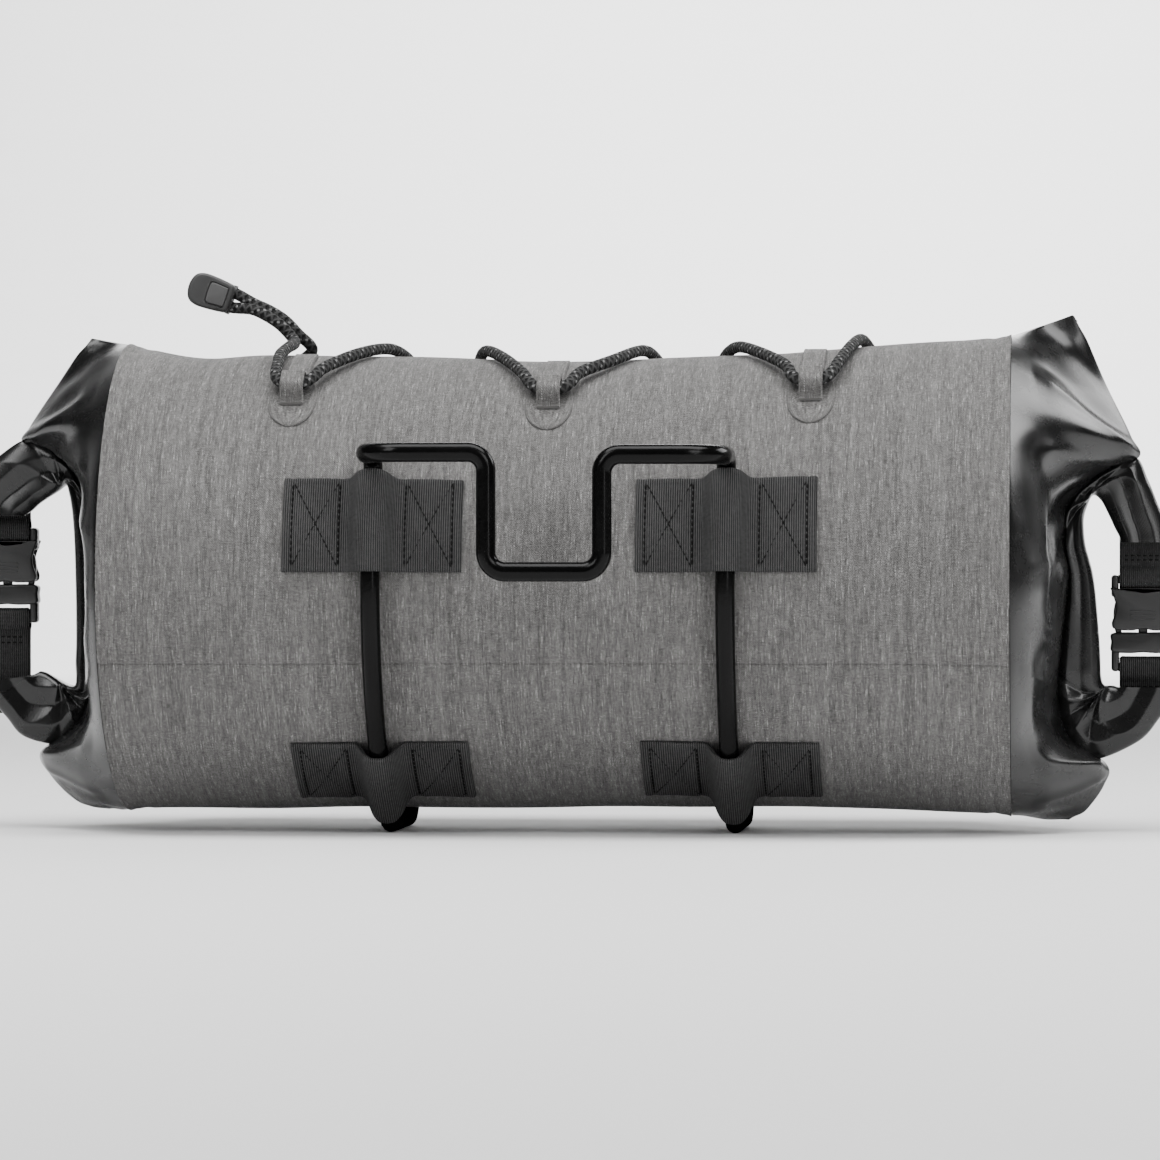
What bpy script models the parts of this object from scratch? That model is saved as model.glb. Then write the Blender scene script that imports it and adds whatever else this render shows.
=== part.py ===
"""Bicycle handlebar bag: a cloth tube with rolled ends, a bungee lace and a bent rod frame.

Metres, +Z up, +X to the bag's right-hand end, the handlebar side towards -Y. Every piece is
built round the tube's axis and placed with it, so that the frame's two straight lower runs
stand on the floor.
"""

import math

import bpy
import numpy as np

for old in list(bpy.data.objects):
    bpy.data.objects.remove(old)

MM = 0.001
FIT = 0.3 * MM  # space between pieces that touch

# The cloth tube
BODY_RADIUS = 98.0 * MM
BODY_HALF = 190.0 * MM
CLOTH = 2.5 * MM
SLEEVE = 12.0 * MM  # how far an end cap reaches into the tube
BODY_AROUND = 64

# The end caps and the rolls at their mouths
CAP_REACH = 50.0 * MM
CAP_CLOTH = 2.0 * MM
CAP_AROUND = 64
MOUTH_EDGE = 3.0 * MM  # both walls of the closed mouth
ROLL_THICK = 17.0 * MM

# The rod frame
ROD = 8.0 * MM
ROD_APART = 147.0 * MM
RAIL_UP = 53.0 * MM
RAIL_DROP = 1.0 * MM  # the right rail lies this much lower
RAIL_OUT = 30.0 * MM  # rails in front of the upright rods
STEM_LEFT = -22.2 * MM
STEM_RIGHT = 25.2 * MM
STEM_FLOOR = 4.2 * MM
ROD_TOP = 21.0  # degrees above the tube's middle
ROD_LEAVES = 54.0  # degrees below it, where the rods leave the round for the straight run
FOOT_BEND = 12.0 * MM
ROD_FAR_END = 42.0  # degrees below the middle at the back

# Webbing loops for the rods
WEB_LONG = 75.0 * MM
WEB_THICK = 1.8 * MM
WEB_SPAN = 23.6  # degrees of the tube, 40 mm
WEB_UPPER = 14.2
WEB_LOWER = -55.2

# The bungee lace
LACE = 5.0 * MM
LACE_LOOP_WIDE = 10.0 * MM
LACE_LOOP_CLOTH = 1.2 * MM
LACE_NEAR = 54.5  # degrees
LACE_FAR = 127.0
NEAR_SPAN = 10.5
FAR_SPAN = 16.0
PATCH_THICK = 1.0 * MM
PATCH_HALF = 10.8 * MM
PATCH_SPAN = 20.0
PATCH_LOWER = 2.5  # degrees from the loop's middle to the patch's
LOOP_CLEAR = 2.2 * MM  # room over the lace in its loop
LOOP_TAIL = 81.0  # a front loop's band runs up to here

# The cord end
END_LONG = 20.0 * MM
END_WIDE = 15.0 * MM
END_THICK = 10.5 * MM
END_AT = (-1.608 * BODY_RADIUS, 0.143 * BODY_RADIUS, 1.286 * BODY_RADIUS)
END_TILT = math.radians(19.3)
END_EDGE = 2.6 * MM
STRAND_APART = 6.4 * MM
STRAND_HELD = 9.0 * MM  # how far the lace's ends reach into the cord end
PANEL_DEEP = 0.9 * MM
PANEL_BEFORE = 2.5 * MM  # from the panel to the lace's side of the cord end
PANEL_MARGIN = 3.0 * MM

# The buckles and their webbing
BUCKLE_LONG = 42.0 * MM
BUCKLE_WIDE = 27.0 * MM
BUCKLE_THICK = 10.0 * MM
BUCKLE_BACK = 6.5 * MM
BUCKLE_OUT = 56.0 * MM
BUCKLE_UP = {-1: 3.0 * MM, 1: -17.5 * MM}
SOCKET_LONG = 24.5 * MM
SOCKET_WALL = 1.8 * MM
SOCKET_ROOF = 10.5 * MM  # solid end with the bar
SIDE_WINDOW = (3.0 * MM, 11.0 * MM)
HALVES_APART = 0.4 * MM
PLUG_THINNER = 0.8 * MM
BAR_WIDE = 4.3 * MM
BAR_THICK = 3.8 * MM
BAR_SLOT = 3.7 * MM
PRONG_WIDE = 4.0 * MM
PRONG_THICK = 3.4 * MM
PRONG_LONG = 12.5 * MM
PRONG_ROOT = 2.0 * MM
PRONG_IN = 2.8 * MM  # from the plug's side
STRAP_WIDE = 20.0 * MM
STRAP_THICK = 1.5 * MM
STRAP_ROOM = 0.8 * MM
ARM_BEHIND = 12.5 * MM  # webbing that lies behind a roll's arm

AXIS_UP = BODY_RADIUS + FIT + 0.2 * MM + ROD
ROD_RADIUS = AXIS_UP - ROD / 2
AXIS_AT = (0.75 * MM, 19.25 * MM, AXIS_UP)

# along, top, bottom, depth: the tube's outline as shares of its half length and radius
BODY_SHAPE = (
    (-1.00, 1.048, 1.003, 0.955),
    (-0.84, 0.994, 1.004, 0.990),
    (-0.70, 1.004, 1.003, 1.000),
    (-0.55, 1.003, 1.000, 1.000),
    (-0.40, 0.996, 0.996, 1.000),
    (-0.20, 0.985, 0.994, 1.000),
    (-0.02, 0.972, 0.993, 1.000),
    (0.23, 0.988, 0.990, 1.000),
    (0.44, 1.002, 0.991, 1.000),
    (0.60, 1.020, 0.993, 1.000),
    (0.78, 1.046, 0.998, 0.985),
    (1.00, 1.075, 1.017, 0.935),
)

# share of the way round from top to bottom, reach, height, sharpness of the edge
MOUTH_LEFT = (
    (0.000, 0.380, 1.082, 1.000),
    (0.100, 0.620, 0.898, 1.000),
    (0.200, 0.900, 0.684, 1.000),
    (0.240, 0.960, 0.622, 0.900),
    (0.275, 0.720, 0.587, 0.800),
    (0.320, 0.520, 0.480, 0.600),
    (0.400, 0.372, 0.286, 0.350),
    (0.500, 0.320, 0.000, 0.300),
    (0.620, 0.320, -0.347, 0.300),
    (0.700, 0.360, -0.531, 0.400),
    (0.760, 0.540, -0.653, 0.600),
    (0.810, 0.800, -0.750, 0.800),
    (0.870, 0.700, -0.864, 1.000),
    (0.930, 0.480, -0.969, 1.000),
    (1.000, 0.220, -1.005, 1.000),
)
MOUTH_RIGHT = (
    (0.000, 0.552, 1.173, 1.000),
    (0.100, 0.800, 0.867, 1.000),
    (0.190, 1.020, 0.633, 1.000),
    (0.240, 1.080, 0.541, 0.900),
    (0.275, 0.840, 0.485, 0.800),
    (0.320, 0.540, 0.357, 0.600),
    (0.380, 0.460, 0.204, 0.350),
    (0.480, 0.490, 0.020, 0.300),
    (0.600, 0.430, -0.286, 0.300),
    (0.680, 0.400, -0.480, 0.400),
    (0.745, 0.500, -0.673, 0.600),
    (0.800, 0.800, -0.786, 0.800),
    (0.870, 0.790, -0.882, 1.000),
    (0.930, 0.660, -0.980, 1.000),
    (1.000, 0.520, -1.041, 1.000),
)
# share, out and up of the roll's edge towards the gap, share of its thickness
ROLL_LEFT = (
    (0.250, 0.800, 0.352, 0.500),
    (0.280, 0.660, 0.398, 0.600),
    (0.310, 0.576, 0.429, 0.800),
    (0.340, 0.544, 0.388, 0.950),
    (0.380, 0.520, 0.316, 1.000),
    (0.500, 0.490, 0.000, 1.000),
    (0.620, 0.490, -0.347, 1.000),
    (0.700, 0.520, -0.459, 0.950),
    (0.730, 0.610, -0.439, 0.800),
    (0.760, 0.700, -0.413, 0.650),
    (0.800, 0.780, -0.393, 0.500),
)
ROLL_RIGHT = (
    (0.250, 0.760, 0.357, 0.500),
    (0.280, 0.696, 0.378, 0.600),
    (0.310, 0.650, 0.337, 0.800),
    (0.340, 0.620, 0.286, 0.950),
    (0.380, 0.620, 0.204, 1.000),
    (0.480, 0.700, 0.020, 1.000),
    (0.600, 0.754, -0.286, 1.000),
    (0.680, 0.770, -0.429, 0.950),
    (0.720, 0.796, -0.449, 0.800),
    (0.760, 0.830, -0.449, 0.650),
    (0.800, 0.860, -0.449, 0.500),
)
# out and up of an arm's outer edge, then of its edge towards the gap
ARM_UPPER_LEFT = (
    (1.140, 0.571, 0.880, 0.316),
    (1.320, 0.480, 0.920, 0.302),
    (1.400, 0.388, 0.940, 0.298),
    (1.420, 0.296, 0.940, 0.294),
)
ARM_UPPER_RIGHT = (
    (1.160, 0.449, 0.820, 0.301),
    (1.240, 0.347, 0.880, 0.235),
    (1.320, 0.245, 0.920, 0.194),
    (1.350, 0.173, 0.920, 0.173),
)
ARM_LOWER_LEFT = (
    (0.950, -0.684, 0.800, -0.394),
    (1.100, -0.602, 0.820, -0.398),
    (1.240, -0.520, 0.832, -0.403),
    (1.360, -0.454, 0.840, -0.408),
)
ARM_LOWER_RIGHT = (
    (1.080, -0.694, 0.876, -0.451),
    (1.260, -0.592, 0.884, -0.453),
    (1.360, -0.510, 0.890, -0.455),
    (1.390, -0.459, 0.896, -0.457),
)
# steps from the rim to the mouth
CAP_STEPS = (0.15, 0.36, 0.6, 0.82, 0.94, 1.0)

# along, angle and lift of the lace: shares of BODY_HALF, degrees, lace diameters
LACE_TURNS = (
    (-0.632, 82.0, 0.66),
    (-0.638, 73.0, 0.62),
    (-0.634, 66.0, 0.68),
    (-0.631, 60.0, 0.88),
    (-0.624, 56.4, 0.90),
    (-0.600, 54.3, 0.90),
    (-0.580, 54.3, 0.90),
    (-0.562, 55.0, 0.90),
    (-0.542, 58.0, 0.90),
    (-0.524, 62.5, 0.88),
    (-0.463, 75.0, 0.62),
    (-0.411, 90.0, 0.60),
    (-0.384, 104.0, 0.62),
    (-0.368, 117.0, 0.88),
    (-0.350, 122.5, 0.90),
    (-0.322, 124.5, 0.90),
    (-0.278, 124.5, 0.90),
    (-0.250, 122.5, 0.90),
    (-0.232, 117.0, 0.88),
    (-0.216, 104.0, 0.62),
    (-0.185, 88.0, 0.62),
    (-0.132, 74.0, 0.62),
    (-0.083, 62.5, 0.88),
    (-0.060, 57.0, 0.90),
    (-0.037, 54.5, 0.90),
    (0.005, 54.5, 0.90),
    (0.028, 57.0, 0.90),
    (0.048, 62.5, 0.88),
    (0.112, 72.0, 0.62),
    (0.168, 88.0, 0.62),
    (0.190, 104.0, 0.62),
    (0.200, 117.0, 0.88),
    (0.216, 122.5, 0.90),
    (0.243, 124.5, 0.90),
    (0.287, 124.5, 0.90),
    (0.314, 122.5, 0.90),
    (0.330, 117.0, 0.88),
    (0.346, 104.0, 0.62),
    (0.385, 88.0, 0.62),
    (0.442, 74.0, 0.62),
    (0.502, 62.5, 0.88),
    (0.520, 57.0, 0.90),
    (0.541, 54.5, 0.90),
    (0.585, 54.5, 0.90),
    (0.606, 57.0, 0.90),
    (0.622, 62.5, 0.88),
    (0.645, 75.0, 0.62),
    (0.663, 90.0, 0.62),
    (0.680, 106.0, 0.62),
    (0.698, 116.0, 0.86),
    (0.718, 121.6, 0.90),
    (0.745, 124.2, 0.90),
    (0.786, 124.4, 0.90),
    (0.812, 126.0, 0.90),
    (0.812, 128.8, 0.90),
    (0.786, 130.4, 0.90),
    (0.735, 130.4, 0.90),
    (0.640, 130.4, 0.80),
    (0.500, 130.4, 0.66),
    (0.360, 130.4, 0.80),
    (0.265, 130.4, 0.90),
    (0.150, 130.4, 0.76),
    (0.000, 130.4, 0.66),
    (-0.180, 130.4, 0.76),
    (-0.300, 130.4, 0.90),
    (-0.420, 130.4, 0.76),
    (-0.530, 130.4, 0.74),
    (-0.628, 130.4, 0.90),
    (-0.683, 130.0, 0.90),
    (-0.708, 127.0, 0.90),
    (-0.704, 121.5, 0.80),
    (-0.665, 112.5, 0.62),
)

# along, back, up of the lace's two strands in the air: shares of BODY_RADIUS
STRAND_DOWN = (
    (-1.392, 0.143, 1.175),
    (-1.325, 0.137, 1.118),
    (-1.262, 0.095, 1.066),
)
STRAND_UP = (
    (-1.185, 0.255, 1.040),
    (-1.235, 0.190, 1.093),
    (-1.310, 0.150, 1.165),
    (-1.390, 0.143, 1.228),
)

# along the rod's webbing, lift of its inner face, in millimetres from the rod's middle
WEB_INNER = ((0.0, 9.2), (2.9, 8.6), (5.2, 6.3), (6.7, 3.4), (8.4, 1.3), (11.4, 0.3))
WEB_OUTER = ((0.0, 10.9), (3.8, 9.9), (6.8, 7.0), (8.3, 4.2), (9.6, 2.5), (12.0, 1.9))

# a lace loop's arch: share of its half span, share of its rise
LOOP_ARCH = (
    (-1.00, 0.00),
    (-0.86, 0.00),
    (-0.72, 0.25),
    (-0.62, 0.70),
    (-0.45, 0.96),
    (-0.20, 1.00),
    (0.20, 1.00),
    (0.45, 0.96),
    (0.62, 0.70),
    (0.72, 0.25),
    (0.86, 0.00),
    (1.00, 0.00),
)
LOOP_TAIL_FALL = (0.3, 2.8)  # degrees past the patch between which the tail comes down

NEAR_LOOPS = (-0.587, -0.016, 0.563)
FAR_LOOPS = (-0.628, -0.300, 0.265, 0.765)


def material(name, colour, roughness, metallic=0.0):
    made = bpy.data.materials.new(name)
    made.use_nodes = True
    shader = made.node_tree.nodes["Principled BSDF"]
    shader.inputs["Base Color"].default_value = (*colour, 1.0)
    shader.inputs["Roughness"].default_value = roughness
    shader.inputs["Metallic"].default_value = metallic
    return made


def collection(name):
    made = bpy.data.collections.new(name)
    bpy.context.scene.collection.children.link(made)
    return made


BAG = collection("handlebar_bag")
CUTTERS = collection("cutters")
CUTTERS.hide_render = True
MELANGE = material("grey_fabric", (0.21, 0.20, 0.19), 0.9)
COATED = material("black_coated_fabric", (0.02, 0.02, 0.022), 0.35)
WEBBING = material("dark_webbing", (0.045, 0.046, 0.045), 0.9)
METAL = material("black_rod", (0.02, 0.02, 0.021), 0.2, 0.9)
PLASTIC = material("black_plastic", (0.025, 0.025, 0.027), 0.4)
GREY_PLASTIC = material("grey_plastic", (0.07, 0.07, 0.07), 0.6)
CORD = material("charcoal_cord", (0.035, 0.035, 0.037), 0.9)
LACE_CLOTH = material("grey_lace_fabric", (0.20, 0.195, 0.185), 0.9)


def curve_value(table, column, at):
    """One column of a table, read smoothly at a value of its first column."""
    keys = np.array([row[0] for row in table])
    values = np.array([row[column] for row in table])
    slopes = np.gradient(values, keys)
    i = int(np.clip(np.searchsorted(keys, at) - 1, 0, len(keys) - 2))
    span = keys[i + 1] - keys[i]
    t = float(np.clip((at - keys[i]) / span, 0.0, 1.0))
    a = (1 + 2 * t) * (1 - t) ** 2 * values[i] + t * (1 - t) ** 2 * span * slopes[i]
    b = t * t * (3 - 2 * t) * values[i + 1] + t * t * (t - 1) * span * slopes[i + 1]
    return a + b


def on_body(x, angle, lift=0.0):
    """A point over the tube: 0 degrees faces the handlebar, 90 is the top."""
    along = x / BODY_HALF
    turn = math.radians(angle)
    back, up = -math.cos(turn), math.sin(turn)
    keys, top, bottom, depth = zip(*BODY_SHAPE)
    tall = float(np.interp(along, keys, top if up >= 0 else bottom)) * BODY_RADIUS
    deep = float(np.interp(along, keys, depth)) * BODY_RADIUS
    return np.array((x, back * (deep + lift), up * (tall + lift)))


def keep(obj, cloth, where=BAG):
    obj.data.materials.append(cloth)
    where.objects.link(obj)
    obj.location = AXIS_AT
    return obj


def loft(name, rings, cloth, closed=False):
    """A skin over rings of points; open ends are closed by pairing the two halves of a ring."""
    count = len(rings[0])
    points = [tuple(point) for ring in rings for point in ring]
    faces = []
    for r in range(len(rings) if closed else len(rings) - 1):
        here, there = r * count, (r + 1) % len(rings) * count
        for i in range(count):
            j = (i + 1) % count
            faces.append((here + i, here + j, there + j, there + i))
    if not closed:
        half = count // 2
        for start, turned in ((0, True), ((len(rings) - 1) * count, False)):
            for i in range(half):
                across = start + (count - i - 1) % count, start + (count - i) % count
                face = list(dict.fromkeys((start + i, start + i + 1, *across)))
                faces.append(tuple(reversed(face)) if turned else tuple(face))
    mesh = bpy.data.meshes.new(name)
    mesh.from_pydata(points, [], faces)
    obj = bpy.data.objects.new(name, mesh)
    keep(obj, cloth)
    face_outwards(mesh)
    for polygon in mesh.polygons:
        polygon.use_smooth = True
    return obj


def face_outwards(mesh):
    """Turns every face of a closed mesh if its volume comes out negative."""
    total = 0.0
    for polygon in mesh.polygons:
        corners = [mesh.vertices[i].co for i in polygon.vertices]
        for i in range(1, len(corners) - 1):
            total += corners[0].dot(corners[i].cross(corners[i + 1]))
    if total < 0:
        mesh.flip_normals()


def section(x, lift, around):
    return [on_body(x, 90.0 - 360.0 * k / around, lift) for k in range(around)]


def body_tube():
    sleeve = 1 - SLEEVE / BODY_HALF
    stations = sorted([row[0] for row in BODY_SHAPE] + [-sleeve, sleeve])
    outer = [section(share * BODY_HALF, 0.0, BODY_AROUND) for share in stations]
    inner = [section(share * BODY_HALF, -CLOTH, BODY_AROUND) for share in reversed(stations)]
    return loft("body_tube", outer + inner, MELANGE, closed=True)


def mouth_point(table, share, side):
    out = curve_value(table, 1, share) * CAP_REACH
    up = curve_value(table, 2, share) * BODY_RADIUS
    return np.array((side * (BODY_HALF + out), 0.0, up))


def cap_point(table, side, k, s, rim):
    """A point of the cap's outer face, s of the way from the rim to the mouth."""
    share = 2.0 * min(k, CAP_AROUND - k) / CAP_AROUND
    mouth = mouth_point(table, share, side)
    sharp = curve_value(table, 3, share)
    forward = (1 - sharp) * (1 - (1 - s) ** 2) + sharp * (1 - (1 - s) ** 1.3)
    narrow = (1 - sharp) * (1 - s**1.6) + sharp * (1 - s) ** 1.1
    edge = MOUTH_EDGE / 2 * (1 - narrow) * (0 if k in (0, CAP_AROUND // 2) else 1)
    sign = -1.0 if k < CAP_AROUND // 2 else 1.0
    x = rim[0] + (mouth[0] - rim[0]) * forward
    y = rim[1] * narrow + sign * edge
    z = rim[2] + (mouth[2] - rim[2]) * (0.35 * s + 0.65 * forward)
    return np.array((x, y, z))


def end_cap(name, table, side):
    rim_x = side * (BODY_HALF + FIT)
    sleeve_x = side * (BODY_HALF - SLEEVE)
    around = range(CAP_AROUND)
    rim = section(rim_x, 0.0, CAP_AROUND)
    skin = [rim] + [[cap_point(table, side, k, s, rim[k]) for k in around] for s in CAP_STEPS]
    grid = np.array(skin)
    lengthwise = np.gradient(grid, axis=0)
    sideways = (np.roll(grid, -1, axis=1) - np.roll(grid, 1, axis=1)) * side
    normal = np.cross(lengthwise, sideways)
    normal /= np.linalg.norm(normal, axis=2, keepdims=True)
    middle = grid - np.array((side * BODY_HALF, 0.0, 0.0))
    if (normal * middle).sum() < 0:
        normal = -normal
    inner = grid - normal * CAP_CLOTH
    signs = np.sign(np.arange(CAP_AROUND) - CAP_AROUND / 2)
    signs[0] = 0.0
    inner[:, :, 1] = signs * np.maximum(signs * inner[:, :, 1], MOUTH_EDGE / 6)
    lining = [list(ring) for ring in inner[1:-2]]
    sleeve = section(sleeve_x, -CLOTH - FIT, CAP_AROUND)
    neck = section(rim_x, -CLOTH - FIT, CAP_AROUND)
    sleeve_in = section(sleeve_x, -CLOTH - FIT - CAP_CLOTH, CAP_AROUND)
    neck_in = section(rim_x, -CLOTH - FIT - CAP_CLOTH, CAP_AROUND)
    rings = [*reversed(skin), neck, sleeve, sleeve_in, neck_in, *lining]
    return loft(name, rings, COATED)


def rounded_ring(inner, outer, half, count=14):
    """A flat oval section between two edge points, with its thickness along Y."""
    middle, arm = (inner + outer) / 2, (inner - outer) / 2
    ring = []
    for k in range(count):
        turn = 2 * math.pi * k / count
        c, s = math.cos(turn), math.sin(turn)
        flat = math.copysign(abs(c) ** 0.55, c)
        thick = math.copysign(abs(s) ** 0.75, s)
        ring.append(middle + arm * flat + np.array((0.0, half * thick, 0.0)))
    return ring


def end_point(out, up, side):
    return np.array((side * (BODY_HALF + out * CAP_REACH), 0.0, up * BODY_RADIUS))


def roll(name, mouth, table, upper, lower, side):
    rings = []
    thin = table[0][3] * ROLL_THICK / 2
    for out, up, gap_out, gap_up in reversed(upper):
        rings.append(rounded_ring(end_point(out, up, side), end_point(gap_out, gap_up, side), thin))
    half_around = CAP_AROUND // 2
    for k in range(half_around + 1):
        share = k / half_around
        if table[0][0] <= share <= table[-1][0]:
            edge = mouth_point(mouth, share, side)
            gap = end_point(curve_value(table, 1, share), curve_value(table, 2, share), side)
            along = (gap - edge) / np.linalg.norm(gap - edge)
            half = curve_value(table, 3, share) * ROLL_THICK / 2
            rings.append(rounded_ring(edge + along * 2 * FIT, gap, half))
    for out, up, gap_out, gap_up in lower:
        rings.append(rounded_ring(end_point(out, up, side), end_point(gap_out, gap_up, side), thin))
    return loft(name, rings, COATED)


def ribbon(name, path, thick, left, right, cloth):
    """A band that follows a path in the YZ plane, from x left to x right."""
    path = np.array(path)
    step = np.gradient(path, axis=0)
    step /= np.linalg.norm(step, axis=1, keepdims=True)
    across = np.stack((-step[:, 1], step[:, 0]), axis=1) * thick / 2
    rings = []
    for (y, z), (ay, az) in zip(path, across):
        rings.append(
            [
                np.array((left, y - ay, z - az)),
                np.array((right, y - ay, z - az)),
                np.array((right, y + ay, z + az)),
                np.array((left, y + ay, z + az)),
            ]
        )
    obj = loft(name, rings, cloth)
    for polygon in obj.data.polygons:
        polygon.use_smooth = False
    return obj


def strap(name, side, upward, behind_from):
    """Webbing round a buckle's bar whose two layers run behind the roll's arm."""
    bar = BUCKLE_UP[side] + upward * (BUCKLE_LONG / 2 - 2.6 * MM)
    layer = STRAP_THICK / 2 + 0.35 * MM
    far = 3.3 * MM
    end = behind_from + upward * ARM_BEHIND
    shape = (
        (-layer, end),
        (-layer, behind_from),
        (-layer, bar + upward * 6.6 * MM),
        (-far * 0.86, bar + upward * 4.2 * MM),
        (-far, bar + upward * 1.5 * MM),
        (-far, bar - upward * 1.2 * MM),
        (-far * 0.75, bar - upward * 2.8 * MM),
        (0.0, bar - upward * 3.5 * MM),
        (far * 0.75, bar - upward * 2.8 * MM),
        (far, bar - upward * 1.2 * MM),
        (far, bar + upward * 1.5 * MM),
        (far * 0.86, bar + upward * 4.2 * MM),
        (layer, bar + upward * 6.6 * MM),
        (layer, behind_from),
        (layer, end - upward * 4.0 * MM),
    )
    path = [(BUCKLE_BACK + y, z) for y, z in shape]
    middle = side * (BODY_HALF + BUCKLE_OUT)
    return ribbon(name, path, STRAP_THICK, middle - STRAP_WIDE / 2, middle + STRAP_WIDE / 2, WEBBING)


def block(name, low, high, cloth, where=BAG, rounding=0.0):
    corners = [(x, y, z) for x in (low[0], high[0]) for y in (low[1], high[1]) for z in (low[2], high[2])]
    faces = [(0, 1, 3, 2), (4, 6, 7, 5), (0, 4, 5, 1), (2, 3, 7, 6), (0, 2, 6, 4), (1, 5, 7, 3)]
    mesh = bpy.data.meshes.new(name)
    mesh.from_pydata(corners, [], faces)
    face_outwards(mesh)
    obj = keep(bpy.data.objects.new(name, mesh), cloth, where)
    if rounding:
        bevel = obj.modifiers.new("rounding", "BEVEL")
        bevel.width = rounding
        bevel.segments = 2
    return obj


def cut(obj, low, high, rounding=0.0):
    cutter = block(f"{obj.name}_cutter", low, high, obj.data.materials[0], CUTTERS, rounding)
    cutter.hide_render = True
    cutter.display_type = "WIRE"
    boolean = obj.modifiers.new("cut", "BOOLEAN")
    boolean.operation = "DIFFERENCE"
    boolean.solver = "EXACT"
    boolean.object = cutter
    return cutter


def bar_end(half_buckle, at, inside, deep, outer, way):
    """Leaves the webbing's bar at one end of a buckle half: a slot, and thinner beyond it."""
    slot = sorted((outer + way * BAR_WIDE, outer + way * (BAR_WIDE + BAR_SLOT)))
    cut(half_buckle, at(-inside, -deep - MM, slot[0]), at(inside, deep + MM, slot[1]), 0.8 * MM)
    thinned = sorted((outer - way * MM, outer + way * (BAR_WIDE + 0.5 * MM)))
    thin = BAR_THICK / 2
    cut(half_buckle, at(-inside, -deep - MM, thinned[0]), at(inside, -thin, thinned[1]))
    cut(half_buckle, at(-inside, thin, thinned[0]), at(inside, deep + MM, thinned[1]))


def prong(plug, at, start, low, high):
    """One of the plug's three prongs, made one with it."""
    thin = PRONG_THICK / 2
    far = at(start + PRONG_WIDE, thin, high)
    arm = block(f"{plug.name}_prong", at(start, -thin, low), far, PLASTIC, CUTTERS)
    arm.hide_render = True
    arm.display_type = "WIRE"
    joining = plug.modifiers.new("prong", "BOOLEAN")
    joining.operation = "UNION"
    joining.solver = "EXACT"
    joining.object = arm


def buckle(side, label):
    middle = side * (BODY_HALF + BUCKLE_OUT)
    top = BUCKLE_UP[side] + BUCKLE_LONG / 2
    bottom = BUCKLE_UP[side] - BUCKLE_LONG / 2
    half, deep = BUCKLE_WIDE / 2, BUCKLE_THICK / 2
    inside = STRAP_WIDE / 2 + STRAP_ROOM

    def at(x, y, z):
        return (middle + x, BUCKLE_BACK + y, z)

    mouth = top - SOCKET_LONG
    name = f"buckle_socket_{label}"
    socket = block(name, at(-half, -deep, mouth), at(half, deep, top), PLASTIC, BAG, 1.6 * MM)
    room, thin = half - SOCKET_WALL - FIT, deep - SOCKET_WALL
    cut(socket, at(-room, -thin, mouth - MM), at(room, thin, top - SOCKET_ROOF))
    bar_end(socket, at, inside, deep, top, -1)
    low, high = (mouth + edge for edge in SIDE_WINDOW)
    window = BAR_THICK / 2
    cut(socket, at(-half - MM, -window, low), at(half + MM, window, high), 0.6 * MM)

    shoulder = mouth - HALVES_APART
    thinner = deep - PLUG_THINNER
    name = f"buckle_plug_{label}"
    plug = block(name, at(-half, -thinner, bottom), at(half, thinner, shoulder), PLASTIC, BAG, 1.4 * MM)
    bar_end(plug, at, inside, deep, bottom, 1)
    for start in (-half + PRONG_IN, -PRONG_WIDE / 2, half - PRONG_IN - PRONG_WIDE):
        prong(plug, at, start, shoulder - PRONG_ROOT, shoulder + PRONG_LONG)


def fillet(corners, radii, turn_step=12.0):
    """A path through corners, each rounded by its radius."""
    path = [corners[0]]
    for before, corner, after, radius in zip(corners, corners[1:], corners[2:], radii):
        if radius == 0:
            path.append(corner)
            continue
        a = (before - corner) / np.linalg.norm(before - corner)
        b = (after - corner) / np.linalg.norm(after - corner)
        angle = math.acos(float(np.clip(a.dot(b), -1, 1)))
        back = radius / math.tan(angle / 2)
        centre = corner + (a + b) / np.linalg.norm(a + b) * radius / math.sin(angle / 2)
        start, end = corner + a * back - centre, corner + b * back - centre
        turned = math.pi - angle
        count = max(2, math.ceil(math.degrees(turned) / turn_step))
        for i in range(count + 1):
            t = i / count
            reach = math.sin((1 - t) * turned) * start + math.sin(t * turned) * end
            path.append(centre + reach / math.sin(turned))
    path.append(corners[-1])
    return path


def tube(name, path, diameter, cloth, sides=3):
    curve = bpy.data.curves.new(name, "CURVE")
    curve.dimensions = "3D"
    curve.bevel_depth = diameter / 2
    curve.bevel_resolution = sides
    curve.use_fill_caps = True
    spline = curve.splines.new("POLY")
    spline.points.add(len(path) - 1)
    for point, place in zip(spline.points, path):
        point.co = (*place, 1.0)
    spline.use_smooth = True
    return keep(bpy.data.objects.new(name, curve), cloth)


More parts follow.
